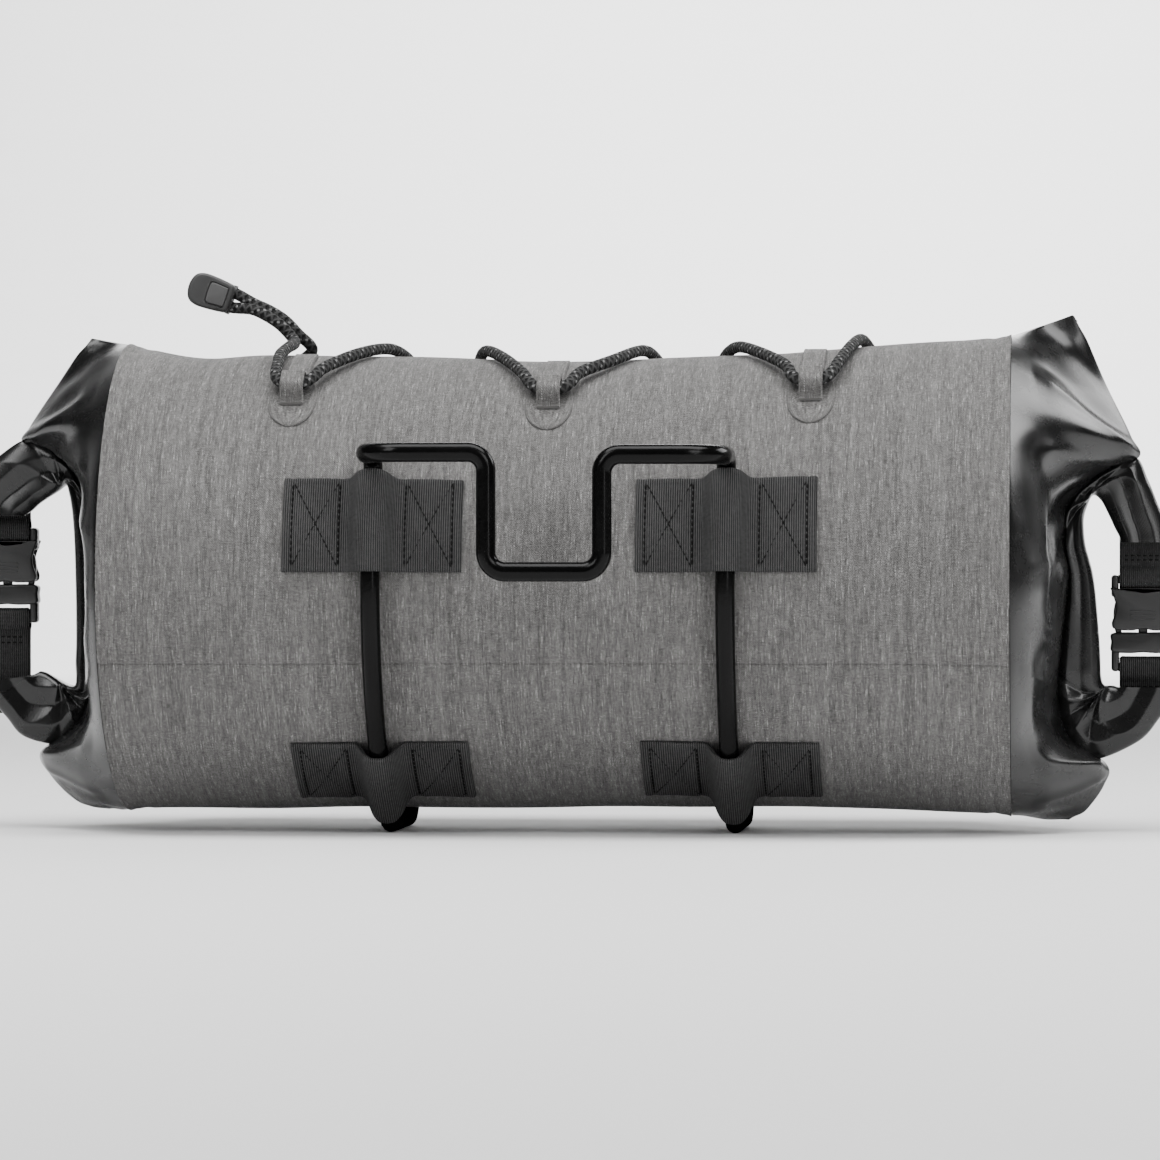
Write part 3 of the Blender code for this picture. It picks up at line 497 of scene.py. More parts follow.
def melange(name, dark, light, warm):
    """Cloth woven of uneven light and dark yarns both ways, with single bright specks."""
    finish = Finish(name)
    warp = finish.threads(finish.u, finish.v, YARN, 150)
    weft = finish.threads(finish.v, finish.u, YARN, 420, 40.0)
    speck = finish.noise(1900, 1900, 1.0)
    band = finish.noise(380, 11, 2.0)
    over = (finish.u / YARN * math.pi).sine() * (finish.v / YARN * math.pi).sine()
    tone = warp * 0.75 + weft * 0.50 + speck * 0.70 + band * 0.35 + over * 0.06
    share = finish.ramp(tone, 0.70, 1.68)
    spark = finish.ramp(speck * 0.5 + warp * 0.6, 0.64, 0.76)
    colour = finish.mix(share, grey(dark, warm), grey(light, warm * 0.6))
    colour = finish.mix(spark * 0.6, colour, grey(light * 2.0, warm * 0.4))
    return finish.done(
        Base_Color=colour,
        Roughness=finish.ramp(tone, 0.9, 1.6, 0.92, 0.78),
        Specular_IOR_Level=0.3,
        Sheen_Weight=0.08,
        Normal=finish.bump(over * 0.8 + warp * 0.6 + weft * 0.3, 0.16 * MM, 0.45),
    )


GREY_MELANGE = melange("grey_melange", 0.036, 0.195, 0.035)
angles = np.arange(-270, 90, 1.8)
seam_angles = np.arange(SEAM_AT - SEAM_REACH, SEAM_AT + SEAM_REACH, 0.14)
angles = np.sort(np.append(angles[np.abs(angles - SEAM_AT) > SEAM_REACH], seam_angles))
rim = BODY_HALF - np.array([0, 0.5, 1.2, 2.0, 3.2, 4.6, 6.0, 7.2, 8.6, 10.4, 12.6]) * MM
plain = BODY_HALF - 15.5 * MM
stations = np.concatenate([-rim, np.linspace(-plain, plain, 130), rim[::-1]])
outside = on_cloth(stations[:, None], angles[None, :], 0.0)
lining_at = np.linspace(BODY_HALF, -BODY_HALF, 16)
lining = over_tube(lining_at[:, None], angles[None, :], -CLOTH)
girth = np.append(angles, angles[0] + 360)[None, :] / 360 * 2 * math.pi * BODY_RADIUS
lengths = np.concatenate([stations, lining_at, stations[:1]])[:, None]
tube = Shape()
tube.skin(np.concatenate([outside, lining]), lengths, girth, ends="joined")
tube.make("cloth_tube", [GREY_MELANGE], "grey_fabric", "body_tube")

# Each end cap is black coated cloth, a disc's worth of it welded inside the tube's end. Its mouth
# is pressed flat, so that the cloth draws in from a round rim to an upright line, with its two
# folded corners standing out.
CAP_REACH = 50 * MM
CAP_CLOTH = 2 * MM
CAP_TURNS = 320
FOLD_ROOM = 1.4 * MM
LININGS_APART = 0.4 * MM
MOUTH_EDGE = 3 * MM

# share of the way round from top to bottom, reach, height, sharpness of the edge
MOUTH_LEFT = (
    (0.000, 0.380, 1.082, 1.000),
    (0.100, 0.620, 0.898, 1.000),
    (0.200, 0.900, 0.684, 1.000),
    (0.240, 0.960, 0.622, 0.900),
    (0.275, 0.720, 0.587, 0.800),
    (0.320, 0.520, 0.480, 0.600),
    (0.400, 0.372, 0.286, 0.350),
    (0.500, 0.320, 0.000, 0.300),
    (0.620, 0.320, -0.347, 0.300),
    (0.700, 0.360, -0.531, 0.400),
    (0.760, 0.540, -0.653, 0.600),
    (0.810, 0.800, -0.750, 0.800),
    (0.870, 0.700, -0.864, 1.000),
    (0.930, 0.480, -0.969, 1.000),
    (1.000, 0.220, -1.005, 1.000),
)
MOUTH_RIGHT = (
    (0.000, 0.552, 1.173, 1.000),
    (0.100, 0.800, 0.867, 1.000),
    (0.190, 1.020, 0.633, 1.000),
    (0.240, 1.080, 0.541, 0.900),
    (0.275, 0.840, 0.485, 0.800),
    (0.320, 0.540, 0.357, 0.600),
    (0.380, 0.460, 0.204, 0.350),
    (0.480, 0.490, 0.020, 0.300),
    (0.600, 0.430, -0.286, 0.300),
    (0.680, 0.400, -0.480, 0.400),
    (0.745, 0.500, -0.673, 0.600),
    (0.800, 0.800, -0.786, 0.800),
    (0.870, 0.790, -0.882, 1.000),
    (0.930, 0.660, -0.980, 1.000),
    (1.000, 0.520, -1.041, 1.000),
)


def mouth_point(table, share, side):
    out = read(table, 1, share) * CAP_REACH
    up = read(table, 2, share) * BODY_RADIUS
    return np.stack((side * (BODY_HALF + out), np.zeros_like(out), up), axis=-1)


def from_corner(turns):
    """Turns from the nearer one of the mouth's two corners."""
    return np.minimum(np.minimum(turns, 1 - turns), np.abs(turns - 0.5))


def cap_skin(table, side, turns, steps):
    """The cap's outer face: a row for every step from the rim to the mouth."""
    share = 2 * np.minimum(turns, 1 - turns)
    rim = over_tube(side * (BODY_HALF + FIT), 90 - 360 * turns)
    mouth = mouth_point(table, share, side)
    sharp = read(table, 3, share)
    blunt = np.where(turns < 0.5, -1, 1) * np.clip(from_corner(turns) * 60, 0, 1)
    rows = []
    for s in steps:
        forward = (1 - sharp) * (1 - (1 - s) ** 2) + sharp * (1 - (1 - s) ** 1.3)
        narrow = (1 - sharp) * (1 - s**1.6) + sharp * (1 - s) ** 1.1
        x = rim[:, 0] + (mouth[:, 0] - rim[:, 0]) * forward
        y = rim[:, 1] * narrow + MOUTH_EDGE / 2 * (1 - narrow) * blunt
        z = rim[:, 2] + (mouth[:, 2] - rim[:, 2]) * (0.35 * s + 0.65 * forward)
        rows.append(np.stack((x, y, z), axis=-1))
    return np.array(rows)


def cap_folds(side, turns, steps, folds):
    """Creases and hollows pressed into the cap, in metres along its outward normal."""
    lift = np.zeros((len(steps), len(turns)))
    s = np.array(steps)[:, None]
    for start_turn, end_turn, start, end, width, height in folds:
        t = np.clip((s - start) / (end - start), 0, 1)
        middle = start_turn + (end_turn - start_turn) * t
        run = np.clip((s - start) / 0.12, 0, 1) * np.clip((end - s) / 0.12, 0, 1)
        for place in (middle, 1 - middle):
            away = np.abs(turns[None, :] - place) / (width * (1.4 - 0.7 * t))
            lift += height * run * np.exp(-np.sqrt(away**2 + 0.04) * 1.3)
    ripple = np.sin(turns[None, :] * 150 + s * 5) * 0.25
    ripple = ripple + np.sin(turns[None, :] * 83 - s * 7 + side) * 0.35
    return (lift + ripple * np.sin(np.clip(s, 0, 1) * math.pi)) * MM


def coated(name, base, rough):
    """Black cloth under a thin, shiny coat, with the weave just showing through."""
    finish = Finish(name)
    weave = (finish.u * 5200).sine() * (finish.v * 5200).sine()
    cloud = finish.noise(60, 60, 3.0)
    grain = finish.noise(900, 900, 2.0)
    creases = finish.noise(110, 38, 3.0, 0.6)
    under = finish.bump(creases, 0.8 * MM, 0.05)
    return finish.done(
        Base_Color=finish.mix(cloud, grey(base), grey(base * 1.8)),
        Roughness=finish.ramp(cloud + grain * 0.25, 0.4, 0.9, rough - 0.05, rough + 0.08),
        IOR=1.42,
        Coat_Weight=0.12,
        Coat_Roughness=0.14,
        Coat_IOR=1.4,
        Normal=finish.bump(weave * 0.4 + grain, 0.06 * MM, 0.3, under),
    )


BLACK_COATED = coated("black_coated_cloth", 0.005, 0.25)

# turn at start and end, step at start and end, width, height in millimetres
CAP_FOLDS = {
    -1: (
        (0.10, 0.135, 0.15, 0.95, 0.012, 2.4),
        (0.17, 0.140, 0.20, 0.97, 0.009, 2.6),
        (0.20, 0.150, 0.45, 0.97, 0.014, -3.6),
        (0.26, 0.180, 0.35, 0.95, 0.018, -2.4),
        (0.34, 0.380, 0.30, 0.95, 0.018, -2.2),
        (0.38, 0.405, 0.20, 0.95, 0.010, 2.0),
        (0.44, 0.420, 0.20, 0.95, 0.010, 1.6),
        (0.22, 0.200, 0.10, 0.60, 0.010, 1.2),
        (0.32, 0.330, 0.10, 0.60, 0.010, 1.2),
    ),
    1: (
        (0.08, 0.120, 0.15, 0.95, 0.010, 2.0),
        (0.15, 0.130, 0.20, 0.97, 0.009, 2.8),
        (0.21, 0.150, 0.45, 0.97, 0.016, -4.2),
        (0.27, 0.190, 0.45, 0.95, 0.020, -3.0),
        (0.34, 0.370, 0.30, 0.95, 0.016, -2.4),
        (0.39, 0.400, 0.20, 0.95, 0.010, 2.2),
        (0.45, 0.420, 0.20, 0.95, 0.010, 1.6),
        (0.24, 0.230, 0.10, 0.60, 0.010, 1.2),
        (0.31, 0.330, 0.10, 0.60, 0.010, 1.2),
    ),
}


def outward(skin, side):
    """The directions straight out of a cap's skin."""
    around = np.roll(skin, -1, axis=1) - np.roll(skin, 1, axis=1)
    out = unit(np.cross(np.gradient(skin, axis=0), around))
    return out * np.sign((out * (skin - np.array((side * BODY_HALF, 0, 0)))).sum())


def gone_over(rings):
    """The length gone over a skin at each of its rings, as a column."""
    steps = np.diff(rings, axis=0, prepend=rings[:1])
    return np.cumsum(np.linalg.norm(steps, axis=2).mean(axis=1))[:, None]


def end_cap(name, table, side, *nodes):
    """The outer skin from mouth to rim, the collar welded inside the tube, and the lining."""
    turns = np.arange(CAP_TURNS) / CAP_TURNS
    steps = np.concatenate([[0, 0.012, 0.03], np.linspace(0.05, 0.985, 40), [1.0]])
    skin = cap_skin(table, side, turns, steps)
    folds = outward(skin, side) * cap_folds(side, turns, steps, CAP_FOLDS[side])[:, :, None]
    near_mouth = np.clip((steps[:, None] - 0.86) / 0.14, 0, 1) ** 2
    blunt = bell(from_corner(turns)[None, :], 0, 0.012) * near_mouth
    skin -= (skin - skin.mean(axis=1, keepdims=True)) * blunt[:, :, None] * 0.035
    skin[:, 1:-1] += folds[:, 1:-1]
    inner = cap_skin(table, side, turns, [0.15, 0.4, 0.6, 0.82, 0.94])
    inner = inner - outward(inner, side) * (CAP_CLOTH + FOLD_ROOM)
    facing = np.where(turns < 0.5, -1, 1)[None, :]
    inner[:, :, 1] = facing * np.maximum(facing * inner[:, :, 1], LININGS_APART / 2)
    hidden = -CLOTH - FIT
    angle = 90 - 360 * turns
    collar = [(BODY_HALF + FIT, hidden), (BODY_HALF - SLEEVE, hidden)]
    collar += [(BODY_HALF - SLEEVE, hidden - CAP_CLOTH), (BODY_HALF + FIT, hidden - CAP_CLOTH)]
    collar = np.array([over_tube(side * x, angle, lift) for x, lift in collar])
    rings = np.concatenate([skin[::-1], collar, inner])
    girth = np.linspace(0, 2 * math.pi * BODY_RADIUS, CAP_TURNS + 1)
    shape = Shape()
    shape.skin(rings, girth[None, :], gone_over(rings), ends="paired")
    return shape.make(name, [BLACK_COATED], "black_coated_fabric", *nodes, crease=80)


end_cap("cap_left", MOUTH_LEFT, -1, "end_cap_left")
end_cap("cap_right", MOUTH_RIGHT, 1, "end_cap_right")

# The mouth of each cap is rolled up three times into a flat roll. Both ends of the roll are bent
# outwards as arms, drawn together by the buckle, so that pleats run out from the bends.
ROLL_THICK = 17 * MM
TUCKED = 2.2 * MM
ROLL_ROWS = 330
ROLL_SPOTS = 60
MOUTH_STEPS = 32
BEND_KEYS = 1.5

# share, out and up of the roll's edge towards the gap, share of its thickness
ROLL_LEFT = (
    (0.250, 0.800, 0.352, 0.500),
    (0.280, 0.660, 0.398, 0.600),
    (0.310, 0.576, 0.429, 0.800),
    (0.340, 0.544, 0.388, 0.950),
    (0.380, 0.520, 0.316, 1.000),
    (0.500, 0.490, 0.000, 1.000),
    (0.620, 0.490, -0.347, 1.000),
    (0.700, 0.520, -0.459, 0.950),
    (0.730, 0.610, -0.439, 0.800),
    (0.760, 0.700, -0.413, 0.650),
    (0.800, 0.780, -0.393, 0.500),
)
ROLL_RIGHT = (
    (0.250, 0.760, 0.357, 0.500),
    (0.280, 0.696, 0.378, 0.600),
    (0.310, 0.650, 0.337, 0.800),
    (0.340, 0.620, 0.286, 0.950),
    (0.380, 0.620, 0.204, 1.000),
    (0.480, 0.700, 0.020, 1.000),
    (0.600, 0.754, -0.286, 1.000),
    (0.680, 0.770, -0.429, 0.950),
    (0.720, 0.796, -0.449, 0.800),
    (0.760, 0.830, -0.449, 0.650),
    (0.800, 0.860, -0.449, 0.500),
)

# out and up of an arm's outer edge, then of its edge towards the gap
ARM_UPPER_LEFT = (
    (1.140, 0.571, 0.880, 0.316),
    (1.320, 0.480, 0.920, 0.302),
    (1.400, 0.388, 0.940, 0.298),
    (1.420, 0.296, 0.940, 0.294),
)
ARM_UPPER_RIGHT = (
    (1.160, 0.449, 0.820, 0.301),
    (1.240, 0.347, 0.880, 0.235),
    (1.320, 0.245, 0.920, 0.194),
    (1.350, 0.173, 0.920, 0.173),
)
ARM_LOWER_LEFT = (
    (0.950, -0.684, 0.800, -0.394),
    (1.100, -0.602, 0.820, -0.398),
    (1.240, -0.520, 0.832, -0.403),
    (1.360, -0.454, 0.840, -0.408),
)
ARM_LOWER_RIGHT = (
    (1.080, -0.694, 0.876, -0.451),
    (1.260, -0.592, 0.884, -0.453),
    (1.360, -0.510, 0.890, -0.455),
    (1.390, -0.459, 0.896, -0.457),
)


# where the cloth is creased across the roll, and how far it stands out there: the roll's own two
# faces, then the pleated faces of its arms, as shares of its half thickness
ROLL_FACES = (
    ((-1, -0.62, -0.1, 0.5, 0.84, 1), (0, 0.10, -0.04, 0.10, -0.10, 0)),
    ((-1, -0.5, 0.1, 0.6, 1), (0, -0.08, 0.10, -0.02, 0)),
)
ARM_FACES = (
    ((-1, -0.62, -0.10, 0.46, 1), (0, 0.22, -0.18, 0.24, 0)),
    ((-1, -0.40, 0.24, 1), (0, -0.16, 0.26, 0)),
)

# pleats that fan out from the inner corner of a bend: keys along the roll at its outer edge,
# width in keys, height as a share of the half thickness
FAN = (
    (-3.4, 0.50, 0.20),
    (-2.0, 0.42, -0.24),
    (-0.9, 0.34, 0.34),
    (0.1, 0.36, -0.28),
    (1.2, 0.40, 0.36),
    (2.5, 0.50, -0.20),
)


def end_point(out, up, side):
    return np.array((side * (BODY_HALF + out * CAP_REACH), 0.0, up * BODY_RADIUS))


def fanned(along, past, face):
    """Height of the fan of pleats, past keys beyond a bend."""
    out = (1 + along) / 2
    height = np.zeros_like(along)
    for spread, width, rise in FAN:
        away = np.abs(past - (spread + 0.5 * (1 - face)) * out) / (width * (0.45 + 0.75 * out))
        height += rise * np.exp(-away) * np.clip(out * 5, 0, 1)
    return height


def roll_ring(inner, outer, half, pleat, bends, drift):
    """A flat section whose two faces are creased, with a fan of pleats at each bend."""
    flat = np.sin(np.linspace(math.pi / 2, -math.pi / 2, ROLL_SPOTS))
    thick = (1 - np.abs(flat) ** 3.6) ** 0.375
    ring = []
    for sign, along, face in ((1, flat, 1), (-1, flat[-2:0:-1], 0)):
        bulge = thick if face else thick[-2:0:-1]
        height = np.interp(along, *ROLL_FACES[face]) * (1 - pleat)
        height += np.interp(along + drift * (1 - along**2), *ARM_FACES[face]) * pleat
        for past in bends:
            height += fanned(along, past, face)
        spot = (inner + outer) / 2 + (inner - outer) / 2 * along[:, None]
        spot[:, 1] += sign * half * bulge * (1 + height)
        ring.append(spot)
    return np.concatenate(ring)


def arm_keys(arm, side, half):
    """An arm's sections: its outer edge, its edge towards the gap, half thickness and pleats."""
    edges = [(end_point(out, up, side), end_point(*gap, side)) for out, up, *gap in arm]
    return [(*pair, half, 1.0) for pair in edges]


def gone_round(ring):
    """The length gone round a ring at each of its points and back at the first, as a row."""
    return gone_along(np.concatenate([ring, ring[:1]]))[None, :]


def roll(name, mouth, table, upper, lower, side, *nodes):
    """The roll from the end of its upper arm to the end of its lower one."""
    thin = table[0][3] * ROLL_THICK / 2
    keys = arm_keys(reversed(upper), side, thin)
    shares = np.arange(MOUTH_STEPS + 1) / MOUTH_STEPS
    shares = shares[(shares >= table[0][0]) & (shares <= table[-1][0])]
    for share in shares:
        edge = mouth_point(mouth, share, side)
        gap = end_point(read(table, 1, share), read(table, 2, share), side)
        near_end = np.clip(1 - min(share - shares[0], shares[-1] - share) / 0.10, 0, 1)
        thick = read(table, 3, share) * ROLL_THICK / 2
        keys.append((edge - unit(gap - edge) * TUCKED, gap, thick, near_end))
    keys += arm_keys(lower, side, thin)
    fine = np.linspace(0, len(keys) - 1, ROLL_ROWS)
    rows = [[(i, *np.ravel(key[j])) for i, key in enumerate(keys)] for j in range(4)]
    inner = np.stack([read(rows[0], c, fine) for c in (1, 2, 3)], axis=-1)
    outer = np.stack([read(rows[1], c, fine) for c in (1, 2, 3)], axis=-1)
    half = read(rows[2], 1, fine)
    pleat = np.clip(read(rows[3], 1, fine), 0, 1)
    drift = 0.12 * np.sin(fine * 0.8 + side)
    bend = len(upper) + BEND_KEYS
    bends = np.stack((fine - bend, len(keys) - 1 - bend - fine), axis=-1)
    rings = np.array([roll_ring(*values) for values in zip(inner, outer, half, pleat, bends, drift)])
    shape = Shape()
    shape.skin(rings, gone_round(rings[ROLL_ROWS // 2]), gone_over(rings), ends="paired")
    return shape.make(name, [BLACK_COATED], "black_coated_fabric", *nodes, crease=80)


roll("rolled_mouth_left", MOUTH_LEFT, ROLL_LEFT, ARM_UPPER_LEFT, ARM_LOWER_LEFT, -1, "roll_left")
roll("rolled_mouth_right", MOUTH_RIGHT, ROLL_RIGHT, ARM_UPPER_RIGHT, ARM_LOWER_RIGHT, 1, "roll_right")

# The four short straps are 20 mm webbing, sewn behind the arms of the rolls and folded round the
# bars of the buckles.
BUCKLE_LONG = 42 * MM
BUCKLE_BACK = 6.5 * MM
BUCKLE_OUT = 56 * MM
BUCKLE_UP = {-1: 3 * MM, 1: -17.5 * MM}
BAR_INSIDE = 2.6 * MM
BAR_CLEAR = 3.3 * MM
BELOW_BAR = 3.5 * MM
STRAP_WIDE = 20 * MM
STRAP_THICK = 1.5 * MM
STRAP_STEP = 0.6 * MM
LAYERS_APART = 0.7 * MM
LAYERS_MEET = 6.6 * MM
STRAP_THREAD = 0.42 * MM
STRAP_PITCH = 2.6 * MM
STRAP_ROWS = (8.4 * MM, 10.4 * MM)
STITCH_LONG = 2.2 * MM
ARM_BEHIND = 12.5 * MM

# how the strap closes round a bar: share of its distance in front, and up from the bar
STRAP_FOLD = ((0.86, 4.2), (1.0, 1.5), (1.0, -1.2), (0.75, -2.8))


def webbing(name, dark, rib=1050, pick=1250):
    """Webbing: a rib for every warp thread along it, crossed by small picks."""
    finish = Finish(name)
    ribs = (finish.u * (2 * math.pi * rib)).sine()
    picks = (finish.v * (2 * math.pi * pick)).sine()
    knit = ribs * 0.65 + ribs * picks * 0.35
    fuzz = finish.noise(420, 900, 3.0)
    wear = finish.noise(60, 35, 3.0)
    share = finish.ramp(knit * 0.7 + fuzz * 0.7 + wear * 0.6, 0.05, 1.30)
    colour = finish.mix(share, grey(dark * 0.2), grey(dark * 2.2))
    return finish.done(
        Base_Color=colour,
        Roughness=0.86,
        Specular_IOR_Level=0.15,
        Normal=finish.bump(knit + fuzz * 0.4, 0.28 * MM, 0.8),
    )


def thread(name, tone):
    finish = Finish(name)
    twist = (finish.u * 9000 + finish.v * 9000).sine()
    return finish.done(
        Base_Color=finish.mix(twist * 0.5 + 0.5, grey(tone * 0.6), grey(tone * 1.4)),
        Roughness=0.7,
        Specular_IOR_Level=0.1,
        Normal=finish.bump(twist, 0.1 * MM, 0.5),
    )


def stitches(shape, places, ways, outs, pitch, thick):
    """Short sunk stitches along a line; each is a small spindle of the shape's second finish."""
    t = np.array([-1.0, -0.85, -0.4, 0.4, 0.85, 1.0])[:, None]
    swell = np.array([0.25, 0.75, 1.0, 1.0, 0.75, 0.25])[:, None, None] * thick
    turn = np.linspace(0, 2 * math.pi, 6, endpoint=False)[:, None]
    gone = gone_along(places)
    for at in np.arange(pitch / 2, gone[-1], pitch):
        place, way, out = (spot_at(at, gone, values) for values in (places, ways, outs))
        line = place + way * t * STITCH_LONG / 2 - out * thick * (0.25 + 1.1 * t**4)
        rim = np.cos(turn) * unit(np.cross(way, out)) + np.sin(turn) * out
        rings = line[:, None] + rim * swell
        shape.skin(rings, np.linspace(0, 2 * MM, 7)[None, :], t * STITCH_LONG / 2, finish=1)


def band(path, step, wide, thick, count):
    """A band along a path of even steps, spread along X, with firm rounded edges."""
    outs = np.cross(unit(np.gradient(path, axis=0)), (1.0, 0.0, 0.0))[:, None]
    across = np.linspace(-1, 1, count)[:, None]
    edge = np.abs(across)
    swell = np.clip((1 - edge) / 0.06, 0, 1) ** 0.5 * (1 + 0.16 * bell(edge, 0.9, 0.05))
    spread = np.array((wide / 2, 0.0, 0.0)) * across
    top = path[:, None] + spread + outs * swell * thick / 2
    low = path[:, None] - spread - outs * swell * thick / 2
    girth = np.linspace(0, 2 * wide, 2 * count + 1)
    shape = Shape()
    run = np.arange(len(path))[:, None] * step
    shape.skin(np.concatenate([top, low], axis=1), girth[None, :], run, ends="paired")
    return shape


DARK_WEBBING = webbing("dark_webbing", 0.034)
STRAP_RIBS = webbing("strap_webbing", 0.024, 1250, 640)
THREAD = thread("black_thread", 0.003)


def strap(name, side, upward, behind_from, *nodes):
    """A strap from behind an arm, in front of it down round the bar, and back up behind."""
    bar = BUCKLE_UP[side] + upward * (BUCKLE_LONG / 2 - BAR_INSIDE)
    layer = STRAP_THICK / 2 + LAYERS_APART / 2
    end = behind_from + upward * ARM_BEHIND
    back = [(layer, behind_from), (layer, bar + upward * LAYERS_MEET)]
    back += [(BAR_CLEAR * share, bar + upward * up * MM) for share, up in STRAP_FOLD]
    front = [(-y, z) for y, z in back]
    route = [(-layer, end), *front, (0.0, bar - upward * BELOW_BAR), *reversed(back)]
    route.append((layer, end - upward * 4.0 * MM))
    middle = side * (BODY_HALF + BUCKLE_OUT)
    path = smooth_path([np.array((middle, BUCKLE_BACK + y, z)) for y, z in route], STRAP_STEP)
    shape = band(path, STRAP_STEP, STRAP_WIDE, STRAP_THICK, 18)
    line = np.linspace(-STRAP_WIDE * 0.42, STRAP_WIDE * 0.42, 20)
    ways, outs = np.tile((1.0, 0.0, 0.0), (20, 1)), np.tile((0.0, -1.0, 0.0), (20, 1))
    for row in STRAP_ROWS:
        near = np.abs(path[:, 2] - (bar + upward * row)) < STRAP_STEP
        place = path[near & (path[:, 1] < BUCKLE_BACK)][0]
        places = place + line[:, None] * ways + STRAP_THICK / 2 * outs
        stitches(shape, places, ways, outs, STRAP_PITCH, STRAP_THREAD)
    shape.make(name, [STRAP_RIBS, THREAD], "dark_webbing", *nodes)


for row, upward, arms in (
    ("upper", 1, (ARM_UPPER_LEFT, ARM_UPPER_RIGHT)),
    ("lower", -1, (ARM_LOWER_LEFT, ARM_LOWER_RIGHT)),
):
    for word, side, arm in zip(("left", "right"), (-1, 1), arms):
        behind_from = arm[-1][1] * BODY_RADIUS
        strap(f"{row}_strap_{word}", side, upward, behind_from, f"strap_{row}_{word}")

# The two side-release buckles are moulded black plastic. The socket is a waisted shell, open at
# both sides, where the plug's two sprung arms show.


def moulded(name, tone, rough):
    """Moulded plastic: a fine spark-eroded grain and faint handling marks."""
    finish = Finish(name)
    grain = finish.noise(2600, 2600, 2.0)
    marks = finish.noise(120, 40, 3.0, 0.7)
    return finish.done(
        Base_Color=finish.mix(marks, grey(tone), grey(tone * 1.5)),
        Roughness=finish.ramp(marks + grain * 0.3, 0.3, 1.0, rough - 0.06, rough + 0.12),
        Normal=finish.bump(grain, 0.05 * MM, 0.4),
    )


def spline_outline(corners, count=96):
    """A closed smooth outline through corners in millimetres, at even steps."""
    points = np.array(corners) * MM
    around = np.concatenate([points[-2:], points, points[:3]])
    whole = np.concatenate(spline(around, 12)[1 : len(points) + 1])
    closed = np.concatenate([whole, whole[:1]])
    gone = gone_along(closed)
    return spot_at(np.linspace(0, gone[-1], count, endpoint=False), gone, closed)


def box_outline(left, right, low, high, corner, count=8):
    """A rectangle in millimetres with round corners."""
    corner = min(corner, (right - left) / 2, (high - low) / 2)
    spots = []
    for cx, cz, start in (
        (right - corner, high - corner, 0),
        (left + corner, high - corner, 90),
        (left + corner, low + corner, 180),
        (right - corner, low + corner, 270),
    ):
        for turn in np.radians(np.linspace(start, start + 90, count)):
            spots.append((cx + corner * math.cos(turn), cz + corner * math.sin(turn)))
    return np.array(spots) * MM


def slab(shape, outline, low, high, rounding, place, dome=0.0):
    """An outline in the XZ plane, made thick along Y; the other lengths are in millimetres."""
    low, high, rounding, dome = (value * MM for value in (low, high, rounding, dome))
    ahead = np.roll(outline, -1, axis=0)
    area = (outline[:, 0] * ahead[:, 1] - outline[:, 1] * ahead[:, 0]).sum()
    step = ahead - np.roll(outline, 1, axis=0)
    out = unit(np.stack((step[:, 1], -step[:, 0]), axis=-1)) * math.copysign(1, area)
    turn = np.linspace(0, math.pi / 2, 5)
    rows = [(-rounding * (1 - math.sin(t)), low + rounding * (1 - math.cos(t))) for t in turn]
    rows += [(-rounding * (1 - math.sin(t)), high - rounding * (1 - math.cos(t))) for t in turn[::-1]]
    rings = []
    for inset, y in rows:
        flat = outline + out * inset
        swell = dome * (1 - (flat[:, 0] / np.abs(outline[:, 0]).max()) ** 2) * np.sign(y)
        rings.append(np.stack((flat[:, 0], y + swell, flat[:, 1]), axis=-1) + place)
    girth = np.linspace(0, np.linalg.norm(step, axis=1).sum() / 2, len(outline) + 1)
    run = np.array([y for _, y in rows])
    shape.skin(rings, girth[None, :], run[:, None])


BLACK_PLASTIC = moulded("black_plastic", 0.006, 0.34)


